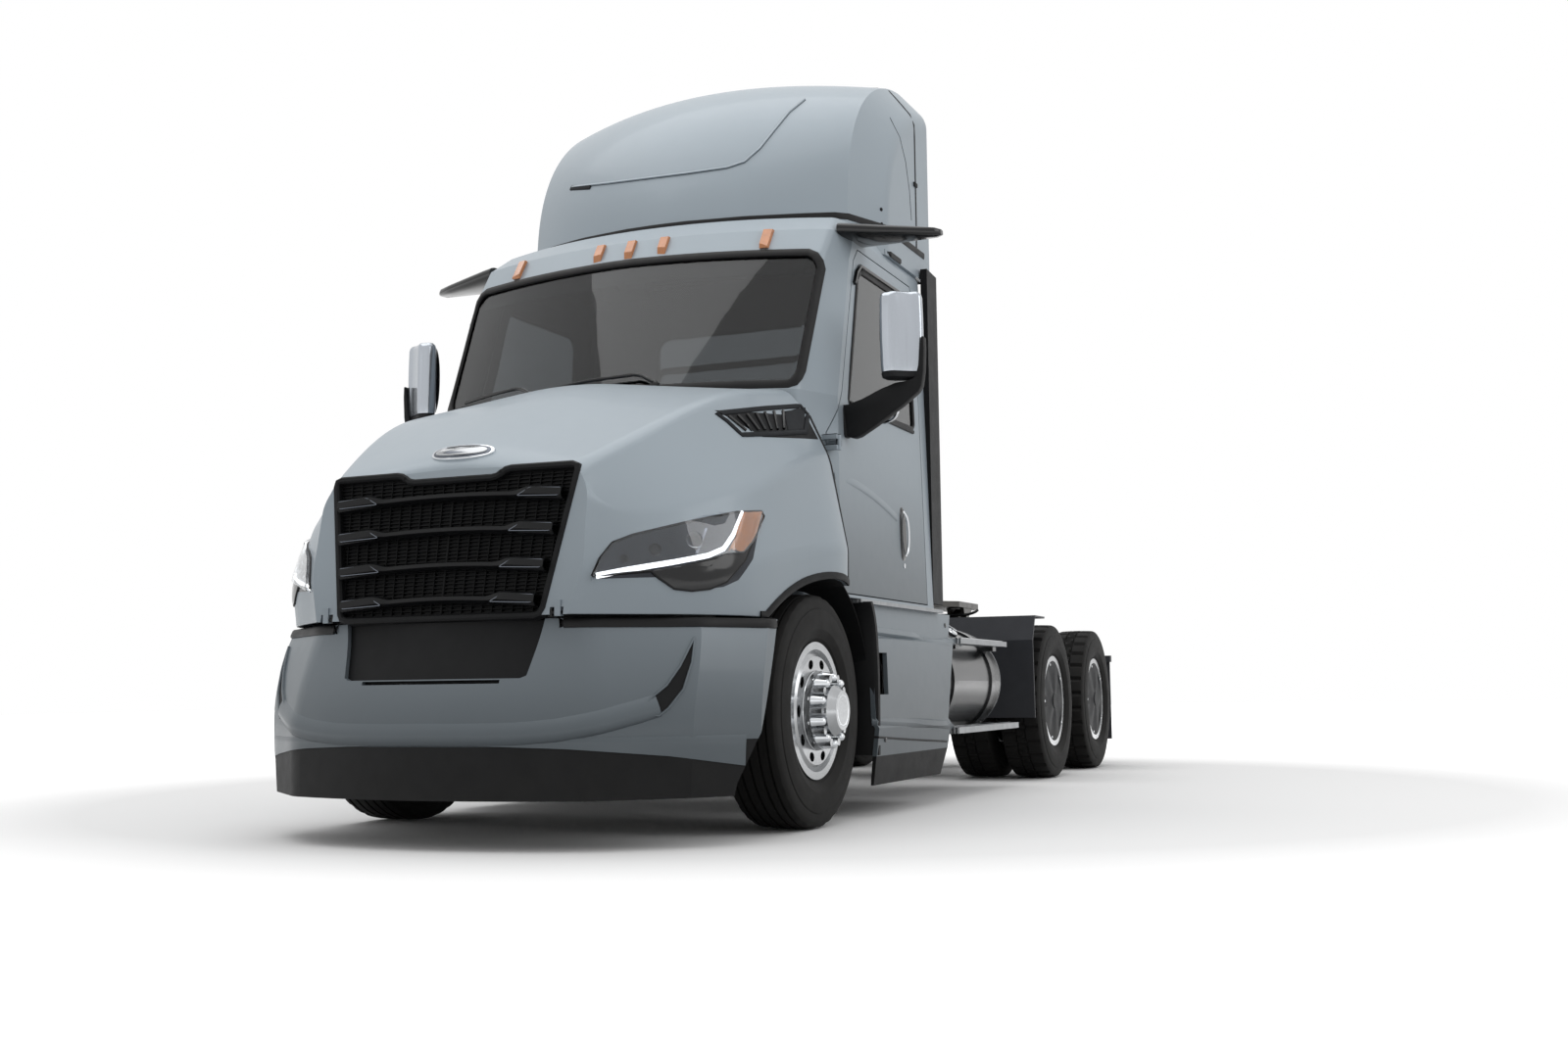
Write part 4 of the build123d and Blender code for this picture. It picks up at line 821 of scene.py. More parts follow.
mirrorHead = dict(x=1.357, behind=0.590, low=2.086, high=2.477, wide=0.202, deep=0.092, turn=30,
                  trayLow=[(-0.034, -0.030), (-0.022, -0.006), (-0.001, -0.001)],
                  loop=[(1.300, 0.66, 1.985), (1.300, 0.69, 1.905), (1.235, 0.70, 1.870),
                        (1.150, 0.69, 1.890), (1.130, 0.63, 1.900)])
mirrorArm = dict(front=0.572, deep=0.050, outline=[
    (1.012, 1.955), (1.006, 1.845), (1.098, 1.787), (1.158, 1.801), (1.430, 1.977), (1.462, 2.030),
    (1.472, 2.250), (1.456, 2.255), (1.436, 2.070), (1.400, 2.046), (1.300, 2.038), (1.110, 1.955)])


def powered(value, power):
    return math.copysign(abs(value) ** power, value)


def mirrorAxes():
    turn = math.radians(mirrorHead["turn"])
    return Vector((math.cos(turn), math.sin(turn), 0)), Vector((-math.sin(turn), math.cos(turn), 0))


def headRing(z, grow):
    wide, deep = mirrorHead["wide"] / 2 + grow, mirrorHead["deep"] / 2 + grow
    across, back = mirrorAxes()
    ring = []
    for c, s in circle(48):
        flute = 0.006 * math.sin(6.5 * c + 0.5) if s < 0 else 0  # two soft flutes on the front
        ring.append(at(mirrorHead["x"], mirrorHead["behind"], z) + across * (wide * powered(c, 0.55))
                    + back * (deep * powered(s, 0.65) + flute))
    return ring


def addMirrors():
    low, high = mirrorHead["low"], mirrorHead["high"]
    rings = [headRing(low, -0.012), headRing(low + 0.004, -0.003), headRing(low + 0.03, 0.0)]
    rings += [headRing(low + 0.03 + (high - low - 0.06) * k / 8, 0.003 * math.sin(math.pi * k / 8))
              for k in range(1, 9)]
    rings += [headRing(high - 0.015, -0.004), headRing(high - 0.004, -0.014), headRing(high, -0.030)]
    shell = gridPiece(rings, ring=True, cap=True)
    shell = settled(shell, "mirrorShellLeft", "mirrorChrome", "door_left", smooth=50)
    across, back = mirrorAxes()
    facing = mirrorHead["deep"] / 2 + 0.0015
    middle = at(mirrorHead["x"], mirrorHead["behind"], (low + high) / 2) + back * facing

    def pane(grow, out):
        half, tall = mirrorHead["wide"] / 2 - 0.016 + grow, (high - low) / 2 - 0.016 + grow
        corners = [(-half, -tall), (half, -tall), (half, tall), (-half, tall)]
        loop = softened([middle + across * u + upwards * w for u, w in corners], closed=True, rounds=3)
        return platePiece(loop, back * out)
    frameRing = settled(pane(0.012, 0.006), "mirrorFrameLeft", "blackPlastic", "door_left", bevel=0.002)
    glass = settled(pane(0.0, 0.008), "mirrorGlassLeft", "mirrorSilver", "door_left", bevel=0.001)
    outline = [at(x, mirrorArm["front"], z) for x, z in mirrorArm["outline"]]
    arm = platePiece(softened(outline, closed=True, rounds=1), toRear * mirrorArm["deep"])
    arm = settled(arm, "mirrorArmLeft", "blackPlastic", "door_left", bevel=0.009)
    rings = [headRing(low + drop, grow) for drop, grow in mirrorHead["trayLow"]]
    tray = settled(gridPiece(rings, ring=True, cap=True), "mirrorTrayLeft", "trimDark", "door_left")
    loop = softened([at(*spot) for spot in mirrorHead["loop"]])
    grab = settled(swept(loop, roundProfile(0.009)), "mirrorLoopLeft", "chrome", "door_left")
    foot = blockPiece(at(1.040, 0.60, 1.870), (0.075, 0.075, 0.150), (0, -6, 0))
    foot = settled(foot, "mirrorFootLeft", "blackPlastic", "door_left", bevel=0.014)
    twins = [mirrored(piece, "door_right") for piece in (shell, frameRing, glass, arm, tray, grab, foot)]
    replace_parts(shell, "mirror_left")
    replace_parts(twins[0], "mirror_right")


cameraBlade = dict(  # x, front, rear, height, thickness
    sections=[(1.000, 0.680, 1.020, 2.862, 0.080), (1.060, 0.700, 1.000, 2.858, 0.078),
              (1.200, 0.750, 0.970, 2.848, 0.066), (1.350, 0.815, 0.955, 2.843, 0.052),
              (1.440, 0.862, 0.950, 2.841, 0.042), (1.468, 0.892, 0.936, 2.841, 0.026)],
    eye=[(-0.002, 0.011), (0.004, 0.011), (0.006, 0.007), (0.004, 0)], eyeAt=(1.40, 0.952, 2.843))


def addCameraBlades():
    rings = []
    for x, front, rear, z, tall in cameraBlade["sections"]:
        middle, reach = (front + rear) / 2, (rear - front) / 2
        rings.append([at(x, middle + reach * powered(c, 0.6), z + tall / 2 * powered(s, 0.8))
                      for c, s in circle(20)])
    blade = settled(gridPiece(rings, ring=True, cap=True), "cameraBladeLeft", "glossBlack", smooth=45)
    eye = turnedPiece(cameraBlade["eye"], at(*cameraBlade["eyeAt"]), (0.2, 1, -0.15), 18)
    eye = settled(eye, "cameraBladeEyeLeft", "glossBlack")
    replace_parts(blade, "mirror_cameras")
    mirrored(blade)
    mirrored(eye)


addWipers()
addCameraPod()
addRoofSeams()
addRoofLines()
addMirrors()
addCameraBlades()
print("wipers, roof trim and mirrors done")

# front end
grille = dict(lean=9.7, behind=-1.212, low=0.897,
              bars=[(0.062, 0.455), (0.200, 0.482), (0.345, 0.508), (0.487, 0.532)],
              bow=0.026, slatStep=0.0155, slatTop=0.585, uprights=10, uprightStep=0.047,
              outline=[(-0.476, 0), (-0.588, 0.604), (-0.248, 0.606), (-0.215, 0.572), (0.215, 0.572),
                       (0.248, 0.606), (0.588, 0.604), (0.476, 0)],
              rim=[(-0.014, -0.036), (-0.014, 0.008), (-0.007, 0.014), (0.006, 0.014), (0.013, 0.006),
                   (0.013, -0.036)])


def onNose(x, height, out=0.0):
    lean = math.radians(grille["lean"])
    return at(x, grille["behind"] + height * math.sin(lean) - out * math.cos(lean),
              grille["low"] + height * math.cos(lean) + out * math.sin(lean))


def chamfered(points, cut):
    out = []
    for i, b in enumerate(points):
        a, c = points[i - 1], points[(i + 1) % len(points)]
        p, q = b + (a - b).normalized() * cut, b + (c - b).normalized() * cut
        out += [p, (p + q + b * 2) / 4, q]
    return out


def addGrilleBars(outward):
    ends, bars = [], []
    for height, half in grille["bars"]:
        rows = []
        for k in range(41):
            x = -half + 2 * half * k / 40
            share = min(1, max(0, (abs(x) - half + 0.235) / 0.09))
            share = share * share * (3 - 2 * share)
            base = height - grille["bow"] * (x / half) ** 2
            tall = 0.020 + 0.024 * share
            reach = 0.026 + 0.008 * share
            profile = [(0, -0.012), (0, reach * 0.6), (tall * 0.25, reach), (tall * 0.8, reach - 0.002),
                       (tall, reach * 0.5), (tall, -0.012)]
            rows.append([onNose(x, base + up, out) for up, out in profile])
        bars.append(settled(gridPiece(rows), "grilleBar", "barBlack", "hood", thickness=0.004))
        low = height - grille["bow"] * 0.85
        outline = [(half - 0.200, low + 0.012), (half - 0.012, low + 0.003), (half - 0.002, low + 0.034),
                   (half - 0.145, low + 0.042)]
        for sign, _ in sides:
            loop = chamfered([onNose(sign * x, h, 0.031) for x, h in outline], 0.007)
            path = loop, [outward] * len(loop)
            ends.append(strip(path, "grilleEnd", "polishedDark", 0.0055, 0.0045, "hood", closed=True))
    joined(ends, "grilleEnds")
    joined(bars, "grilleBars")


def addGrilleMesh(outward):
    slats, height = [], 0.02

    def addSlat(start, end, width, tall):
        slats.append(strip(([start, end], [outward] * 2), "grilleSlat", "meshBlack", width, tall, "hood"))
    while height < grille["slatTop"]:
        half = 0.462 + 0.11 * height / 0.6
        addSlat(onNose(-half, height, -0.026), onNose(half, height, -0.026), 0.0065, 0.007)
        height += grille["slatStep"]
    for k in range(-grille["uprights"], grille["uprights"] + 1):
        x = k * grille["uprightStep"]
        top = grille["slatTop"] if abs(x) > 0.235 else 0.560
        addSlat(onNose(x, 0.01, -0.024), onNose(x * 1.08, top, -0.024), 0.005 if k else 0.012, 0.008)
    joined(slats, "grilleMesh")


def addGrille():
    outward = onNose(0, 0, 1) - onNose(0, 0, 0)
    addGrilleBars(outward)
    outline = [onNose(x, h, -0.040) for x, h in grille["outline"]]
    back = settled(platePiece(outline, outward * 0.012), "grilleBack", "meshBlack", "hood")
    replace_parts(back, "grille")
    addGrilleMesh(outward)
    loop = chamfered([onNose(x * 0.988, h * 0.995 + 0.002, -0.006) for x, h in grille["outline"]], 0.028)
    rim = swept(loop, grille["rim"], [outward] * len(loop), closed=True)
    settled(rim, "grilleSurround", "blackPlastic", "hood")


badge = dict(y=-3.612, wide=0.150, tall=0.040, lean=38, rise=0.016)


def addBadge():
    middle, _ = cast(frontSkin, (0, badge["y"], 3), (0, 0, -1))
    lean = math.radians(badge["lean"])
    up, outward = Vector((0, math.sin(lean), math.cos(lean))), Vector((0, -math.cos(lean), math.sin(lean)))

    def addOval(inset, squeeze, lift, deep, name, finishName, bevel):
        loop = []
        for c, s in circle(40):
            x = (badge["wide"] - inset) * powered(c, 0.75)
            high = (badge["tall"] - squeeze) * powered(s, 0.85) + badge["rise"]
            loop.append(middle + Vector((x, 1.1 * x * x, 0)) + up * high + outward * lift)
        settled(platePiece(loop, outward * deep), name, finishName, "hood", bevel=bevel)
    addOval(0, 0, -0.040, 0.056, "badgePlate", "chrome", 0.004)
    addOval(0.012, 0.008, 0.012, 0.0065, "badgeInlay", "polishedDark", 0.002)
    addOval(0.026, 0.017, 0.016, 0.006, "badgeCore", "polished", 0.002)


addGrille()
addBadge()
print("grille and badge done")

headlamp = dict(  # pixels in the viewer's frame
    upper=[(604, 588), (612, 570), (625, 554), (646, 546), (697, 534), (751, 523), (776, 522)],
    strip=[(608, 588), (640, 582), (690, 574), (722, 568), (738, 561), (748, 546), (757, 524)],
    lobe=[(664, 583), (672, 590), (688, 601), (706, 603), (724, 601), (741, 594), (760, 572), (772, 546)],
    lobeTop=[(757, 550), (746, 562), (735, 569), (700, 577)],
    amber=[(757, 523), (776, 522), (770, 546), (757, 568), (742, 566), (750, 549)],
    corner=[(779, 527), (770, 548)], fin=[(720, 540), (712, 562), (709, 566)],
    projectors=[(668, 562, 0.026), (708, 552, 0.034), (636, 571, 0.017)])


def flatPatch(skin, pixels, lift, name, finishName, body="chassis", thickness=0.003):
    loop = spaced([Vector((x, y, 0)) for x, y in pixels + pixels[:1]], 3)[:-1]
    middle = sum(loop, Vector()) / len(loop)
    rings = []
    for share in (1.0, 0.8, 0.55, 0.3, 0.08):
        ring = []
        for p in loop:
            q = middle.lerp(p, share)
            place, _ = cast(skin, *seenRay(q.x, q.y), lift)
            ring.append(place or ring[-1])
        rings.append(ring)
    return settled(gridPiece(rings, ring=True, cap=True), name, finishName, body, thickness=thickness)


def addHeadlamps():
    skin = skinOf("headlamps", "hood")
    upper, lower, lobe = headlamp["upper"], headlamp["strip"], headlamp["lobe"]
    bowl = seenPatch(skin, upper[:-1], lower[:-1], 0.0015)
    pieces = [settled(bowl, "lampBowlLeft", "lampHousing", "hood", thickness=0.002)]
    places, _ = seenPath(skin, lower, 0.003)
    pieces.append(strip((spaced(places, 0.03), None), "lampStripLeft", "lampWhite", 0.024, 0.007, "hood"))
    lobeLoop = lobe + headlamp["lobeTop"]
    pieces.append(flatPatch(skin, lobeLoop, 0.004, "lampLobeLeft", "glossBlack", "hood", 0.005))
    pieces.append(flatPatch(skin, headlamp["amber"], 0.005, "lampAmberLeft", "lampAmber", "hood", 0.004))
    for number, (px, py, radius) in enumerate(headlamp["projectors"]):
        place, normal = cast(skin, *seenRay(px, py))
        facing = (normal + Vector((0.1, -0.5, 0))).normalized()
        place = place + normal * 0.002
        profile = [(0.000, 1), (0.009, 1), (0.012, 0.93), (0.004, 0.78), (0.001, 0.7)]
        bowl = turnedPiece([(out, radius * share) for out, share in profile], place, facing, 26)
        pieces.append(settled(bowl, "lampRing%dLeft" % number, "polished", "hood"))
        profile = [(0.001, radius * 0.72), (0.006, radius * 0.6), (0.010, radius * 0.35), (0.0115, 0.0005)]
        ball = turnedPiece(profile, place, facing, 22)
        pieces.append(settled(ball, "lampBall%dLeft" % number, "glossBlack", "hood", smooth=60))
    places, _ = seenPath(skin, headlamp["fin"], 0.001)
    pieces.append(strip((places, None), "lampFinLeft", "polishedDark", 0.012, 0.005, "hood"))
    rim = upper + headlamp["corner"] + lobe[-2::-1] + upper[:1]
    pieces.append(strip(seenPath(skin, rim), "lampRimLeft", "sealRubber", 0.010, 0.0065, "hood"))
    edge = [(x, y + 3) for x, y in lower[:4]] + [(742, 566), (757, 566), (772, 546)]
    lens = seenPatch(skin, upper, edge, 0.017)
    pieces.append(settled(lens, "lampLensLeft", "lampLens", "hood", thickness=0.002))
    for piece in pieces:
        mirrored(piece)


bumper = dict(  # pixels in the viewer's frame
    apron=[(286, 764), (335, 760), (460, 761), (580, 765), (685, 772), (772, 783)],
    apronTop=0.428, apronEnd=-3.05,
    lip=[(292, 742), (345, 749), (400, 752), (460, 753), (520, 752), (570, 747), (610, 739), (650, 728),
         (672, 721)],
    lipProfile=[(-0.052, -0.004), (-0.036, 0.006), (-0.015, 0.013), (0.008, 0.015), (0.028, 0.009),
                (0.040, 0.001), (0.042, -0.005)],
    curtain=[(709, 650), (706, 676), (697, 704), (682, 723), (672, 731), (667, 730), (659, 719), (664, 713),
             (680, 700), (694, 680)],
    stripHeight=0.866, stripInner=0.505)


def addApron(skin):
    spots = [cast(skin, *seenRay(*along(bumper["apron"], k / 32)))[0] for k in range(33)]
    half = [p for p in spots if p is not None and p.x > -0.05]
    reach = half[-1].y
    while reach < bumper["apronEnd"]:
        reach += 0.012
        place, _ = cast(skin, (3, reach, half[-1].z - 0.0012), (-1, 0, 0))
        if place is None:
            break
        half.append(place)
    line = [Vector((-p.x, p.y, p.z)) for p in reversed(half) if p.x > 0.06]
    line += [p for p in half if p.x > -0.04]
    rows = [[] for _ in range(5)]
    for p in line:
        outward = Vector((p.x * 0.9, p.y + 3.0 if abs(p.x) < 1.1 else -0.2, 0)).normalized()
        for row, share in zip(rows, (0, 0.3, 0.6, 0.9, 1.0)):
            z = p.z + (bumper["apronTop"] - p.z) * share
            place, normal = cast(skin, Vector((p.x, p.y, z)) + outward * 0.5, -outward)
            row.append((row[-1] if place is None else place)
                       + (normal or outward) * (0.0045 if share < 1 else 0.002))
    settled(gridPiece(rows), "bumperApron", "bodyPaintLow", thickness=0.003)


def addBumperTrim():
    skin = skinOf("front_bumper", "air_dam")
    addApron(skin)
    half = [(p, n) for p, n in zip(*seenPath(skin, bumper["lip"])) if p.x > 0.03]
    points, ups = parted(twoSided(half), 6)
    for _ in range(3):
        inner = [(a + b * 2 + c) / 4 for a, b, c in zip(points, points[1:], points[2:])]
        points = points[:1] + inner + points[-1:]
    settled(swept(points, bumper["lipProfile"], ups), "bumperLip", "bodyPaintLow", smooth=60)
    curtain = flatPatch(skin, bumper["curtain"], 0.001, "airCurtainLeft", "blackPlastic", thickness=0.004)
    places, normals = seenPath(skin, bumper["curtain"] + bumper["curtain"][:1])
    rim = places[:-1], normals[:-1]
    rim = strip(rim, "airCurtainRimLeft", "bodyPaintLow", 0.008, 0.009, closed=True)
    mirrored(curtain)
    mirrored(rim)
    turns = [math.radians(k * 1.3) for k in range(-80, 81)]
    centre = Vector((0, -3.0, bumper["stripHeight"]))
    hits = castInward(skin, centre, [Vector((math.sin(a), -math.cos(a), 0)) for a in turns], 4)
    for sign, label in sides:
        path = parted([hit for hit in hits if hit[0].x * sign > bumper["stripInner"]])
        strip(path, "bumperStrip" + label, "sealRubber", 0.038, 0.010)


vent = dict(  # pixels in the viewer's frame
    upper=[(734, 424), (780, 419), (822, 416)], lower=[(757, 442), (790, 441), (818, 439)],
    block=[(800, 420), (822, 417), (819, 438), (804, 439)],
    rim=[(731, 422), (780, 417), (825, 414), (822, 441), (790, 443), (757, 444), (742, 430)],
    slats=7, firstSlat=0.08, slatStep=0.105)


def addVents():
    skin = skinOf("hood_vents", "hood")
    block = flatPatch(skin, vent["block"], 0.002, "ventBlockLeft", "coverDark", "hood", 0.006)
    slats = []
    for k in range(vent["slats"]):
        share = vent["firstSlat"] + k * vent["slatStep"]
        a, b = along(vent["upper"], share), along(vent["lower"], share)
        path = seenPath(skin, [(a[0] + 2, a[1] + 2), (b[0] - 1, b[1] - 2)], 0.001)
        if len(path[0]) > 2:
            slats.append(strip(path, "ventSlat", "glossBlack", 0.012, 0.009, "hood"))
    louvre = joined(slats, "ventLouvreLeft")
    edge = strip(seenPath(skin, vent["rim"]), "ventRimLeft", "coverDark", 0.024, 0.006, "hood", closed=True)
    for piece in (block, louvre, edge):
        mirrored(piece)


arch = dict(radius=0.632, inner=0.86, outer=1.165, start=36, end=118, panel=0.026,
            trimEnd=117, trimWidth=0.032, trimReach=(0.50, 0.70))
splash = dict(radius=0.640, x=(0.62, 0.8, 1.0, 1.150), start=119, end=168)
hoodSeal = dict(low=0.98, high=1.90, width=0.016)


def aroundAxle(turn, radius):  # how far behind the axle, and how high
    return -radius * math.cos(turn), axleHeight + radius * math.sin(turn)


def addArches():
    rows, skin = [], skinOf("hood")
    low, high = arch["radius"], arch["radius"] + 0.012
    for k in range(41):
        turn = math.radians(arch["start"] + (arch["end"] - arch["start"]) * k / 40)
        face, _ = castSide(skin, 1, *aroundAxle(turn, high))
        outer = arch["outer"] if face is None else min(arch["outer"], face.x - arch["panel"])
        spots = [(arch["inner"], low - 0.02), (arch["inner"] + 0.02, low), (1.0, low + 0.004),
                 (outer - 0.02, low), (outer, high)]
        rows.append([at(x, *aroundAxle(turn, radius)) for x, radius in spots])
        for spot in rows[-1]:
            spot.z = max(0.66, spot.z)
    mirrored(settled(gridPiece(rows), "archLinerLeft", "blackPlastic", "hood", thickness=0.003))


def addSplashPlates():
    turns = [math.radians(splash["start"] + (splash["end"] - splash["start"]) * k / 14) for k in range(15)]
    rows = [[at(x, *aroundAxle(turn, splash["radius"])) for x in splash["x"]] for turn in turns]
    mirrored(settled(gridPiece(rows), "splashPlateLeft", "blackPlastic", thickness=0.004))


def addArchTrim():
    skin, hits = skinOf("hood"), []
    near, far = arch["trimReach"]
    for k in range(arch["start"], arch["trimEnd"]):
        turn = math.radians(k)
        for step in range(int((far - near) / 0.001)):
            radius = near + 0.001 * step
            place, _ = castSide(skin, 1, *aroundAxle(turn, radius))
            if place is not None and place.x > 1.0:
                hits.append(castSide(skin, 1, *aroundAxle(turn, radius + arch["trimWidth"] * 0.4)))
                break
    path = parted([hit for hit in hits if hit[0] is not None], 6)
    mirrored(strip(path, "archTrimLeft", "blackPlastic", arch["trimWidth"], 0.008, "hood"))


def addHoodSeal():
    skin, hits = skinOf("hood"), []
    z = hoodSeal["low"]
    while z < hoodSeal["high"]:
        for step in range(450):
            y = -1.75 - 0.002 * step
            place, _ = cast(skin, (3, y, z), (-1, 0, 0))
            if place is not None and place.x > 0.6:
                hits.append(cast(skin, (3, y - hoodSeal["width"] * 0.45, z), (-1, 0, 0)))
                break
        z += 0.04
    path = parted([hit for hit in hits if hit[0] is not None])
    mirrored(strip(path, "hoodRearSealLeft", "sealRubber", hoodSeal["width"], 0.004, "hood"))


# painted shade: a black strip on the right-hand A-pillar deflector only stands in for the shade on it, while
# the left deflector stays body colour; the clips are real
pillar = dict(x=-0.992, low=2.06, step=0.04, count=16, clips=(3, 12), clip=(0.046, 0.010, 0.014))


def addPillarPaintedShade():
    starts = [fromFront(pillar["x"], pillar["low"] + pillar["step"] * k) for k in range(pillar["count"])]
    places, normals = castPath(bodySkin, starts, toRear, 0.004)
    pieces = [strip((places, normals), "pillarStrip", "glossBlack", 0.044, 0.012)]
    for i in pillar["clips"]:
        clip = blockPiece(places[i] + normals[i] * 0.012, pillar["clip"], (0, 0, -35))
        pieces.append(settled(clip, "pillarClip", "mirrorChrome", bevel=0.002))
    joined(pieces, "pillarStripRight")


addHeadlamps()
addBumperTrim()
addVents()
addArches()
addSplashPlates()
addArchTrim()
addHoodSeal()
addPillarPaintedShade()
print("headlamps, bumper trim and vents done")

# wheels
tyre = dict(
    wall=[(0.100, 0.2875), (0.109, 0.299), (0.1165, 0.310), (0.124, 0.3155), (0.126, 0.3215), (0.129, 0.325),
          (0.135, 0.345), (0.1395, 0.3515), (0.1405, 0.3575), (0.1400, 0.364), (0.1425, 0.386),
          (0.1418, 0.412), (0.1388, 0.434), (0.1378, 0.442), (0.1342, 0.4455), (0.1345, 0.455),
          (0.1315, 0.475), (0.1282, 0.488), (0.1215, 0.4985)],
    steerGrooves=[0.088, 0.046, 0.0], driveGrooves=[0.032], grooveHalf=0.0045, grooveDeep=0.013,
    edges=[0.1205, 0.112], lugSpots=[0.100, 0.082, 0.062, 0.044], crown=0.0035, radius=0.5079, steps=108,
    lugSteps=150, lugDeep=0.015, seat=(0.096, 0.292))


def tyreHeight(a):
    return tyre["radius"] - tyre["crown"] * (a / 0.12) ** 2 - max(0, abs(a) - 0.108) * 0.35


def treadSpots(grooves):
    spots, half = list(tyre["edges"]), tyre["grooveHalf"]
    for g in grooves:
        spots += [g + half + 0.0012, g + half - 0.0008, g - half + 0.0008, g - half - 0.0012]
    return sorted(set(round(v, 4) for v in spots + [-v for v in spots]), reverse=True)


def tyreSections(drive):  # across, radius, and 2 for shoulder lugs or 3 for centre lugs
    grooves = tyre["driveGrooves"] if drive else tyre["steerGrooves"]
    tread = []
    for a in treadSpots(grooves):
        inGroove = any(abs(abs(a) - g) < tyre["grooveHalf"] for g in grooves)
        kind = 2 if drive and abs(a) > 0.037 else (3 if drive and not inGroove else 0)
        tread.append((a, tyreHeight(a) - (tyre["grooveDeep"] if inGroove else 0), kind))
    if drive:
        extra = [(a, tyreHeight(a), 2) for a in tyre["lugSpots"]] + [(0.012, tyreHeight(0), 3)]
        tread += extra + [(-a, r, kind) for a, r, kind in extra]
    wall = [(a, r, 0) for a, r in tyre["wall"]]
    return wall + sorted(tread, key=lambda s: -s[0]) + [(-a, r, 0) for a, r, _ in reversed(wall)]


def tyreAt(place, drive, name, body):
    turns = circle(tyre["lugSteps"] if drive else tyre["steps"])
    rings = []
    for a, r, kind in tyreSections(drive):
        ring = []
        for k, (c, s) in enumerate(turns):
            radius = r
            if kind:
                phase = (k + (2 if a > 0 else 0) + (1 if kind == 3 else 0)) % 5
                if phase == 0 or (kind == 3 and phase == 2):
                    radius -= tyre["lugDeep"] * (0.5 if abs(a) > 0.115 else 1)
            elif not drive and 0.49 < r and 0.105 < abs(a) and k % 3 == 0:
                radius -= 0.004
            ring.append(place + Vector((a, radius * c, radius * s)))
        rings.append(ring)
    reach, radius = tyre["seat"]
    for a in (-reach, reach):
        rings.append([place + Vector((a, radius * c, radius * s)) for c, s in turns])
    rings.append(rings[0])
    return settled(gridPiece(rings, ring=True), name, "tyreRubber", body, smooth=32)


def addTyres():
    spot = Vector((tyreX["front"], frontAxle, axleHeight))
    front = tyreAt(spot, False, "frontTyreLeft", "front_wheel_left")
    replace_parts(front, "front_tyre_left")
    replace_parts(mirrored(front, "front_wheel_right"), "front_tyre_right")
    for row, y in rearRows:
        wheelBody = "rear_wheel_%d_" % row
        spots = [Vector((tyreX[key], y, axleHeight)) for key in ("outer", "inner")]
        pair = [tyreAt(spot, True, "rearTyre", wheelBody + "left") for spot in spots]
        pair = joined(pair, "rearTyres%dLeft" % row)
        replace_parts(pair, "rear_tyres_%d_left" % row)
        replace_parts(mirrored(pair, wheelBody + "right"), "rear_tyres_%d_right" % row)


wheel = dict(
    lugs=dict(count=10, shift=0.5, reach=0.143, out=0, steps=18, profile=[
        (0.136, 0.027), (0.144, 0.027), (0.148, 0.0225), (0.196, 0.01935), (0.206, 0.0153), (0.212, 0.00675),
        (0.212, 0.0008)]),
    hubBolts=dict(count=6, shift=0.0, reach=0.068, out=0.236, steps=6, profile=[
        (0, 0.0055), (0.0035, 0.0055), (0.0045, 0.004), (0.0045, 0.0006)]),
    coverBolts=dict(count=5, shift=0.5, reach=0.252, out=0.112, steps=6, profile=[
        (0, 0.010), (0.006, 0.010), (0.008, 0.007), (0.008, 0.0008)]),
    dish=[(0.118, 0.112), (0.1245, 0.116), (0.1245, 0.170), (0.121, 0.173)],
    hub=[(0.150, 0.094), (0.158, 0.094), (0.162, 0.088), (0.226, 0.083), (0.238, 0.076), (0.2405, 0.066),
         (0.2385, 0.050), (0.2385, 0.0008)],
    frontBead=[(0.0995, 0.289), (0.106, 0.296), (0.1065, 0.2985), (0.103, 0.300)],
    rearBead=[(0.0995, 0.2885), (0.107, 0.296), (0.1075, 0.299), (0.104, 0.3005)],
    stem=[(0.110, 0.235, 0.02), (0.136, 0.228, 0.02), (0.146, 0.205, 0.02)],
    cover=[(0.098, 0.272), (0.109, 0.268), (0.1145, 0.262), (0.1155, 0.246), (0.112, 0.232), (0.117, 0.16),
           (0.121, 0.085), (0.121, 0.055), (0.127, 0.050), (0.128, 0.030), (0.128, 0.0008)])


def boltCircle(bolts, centre, name, body, smooth=35):
    pieces = []
    for c, s in circle(bolts["count"], bolts["shift"]):
        spot = centre + Vector((bolts["out"], bolts["reach"] * c, bolts["reach"] * s))
        bolt = turnedPiece(bolts["profile"], spot, toLeft, bolts["steps"])
        pieces.append(settled(bolt, name, "chrome", body, smooth=smooth))
    return pieces


def addFrontWheelTrim():
    centre, body = Vector((tyreX["front"], frontAxle, axleHeight)), "front_wheel_left"
    parts = boltCircle(wheel["lugs"], centre, "lugCap", body, smooth=50)
    dish = turnedPiece(wheel["dish"], centre, toLeft, 64, capped=False)
    parts.append(settled(dish, "lugRing", "chrome", body))
    hub = turnedPiece(wheel["hub"], centre, toLeft, 56)
    parts.append(settled(hub, "hubCap", "chrome", body, smooth=40))
    parts += boltCircle(wheel["hubBolts"], centre, "hubBolt", body)
    bead = turnedPiece(wheel["frontBead"], centre, toLeft, 96, capped=False)
    parts.append(settled(bead, "rimBead", "chrome", body))
    stem = swept([centre + Vector(spot) for spot in wheel["stem"]], roundProfile(0.005, 8))
    parts.append(settled(stem, "valveStem", "greasedSteel", body))
    mirrored(joined(parts, "frontWheelTrimLeft"), "front_wheel_right")


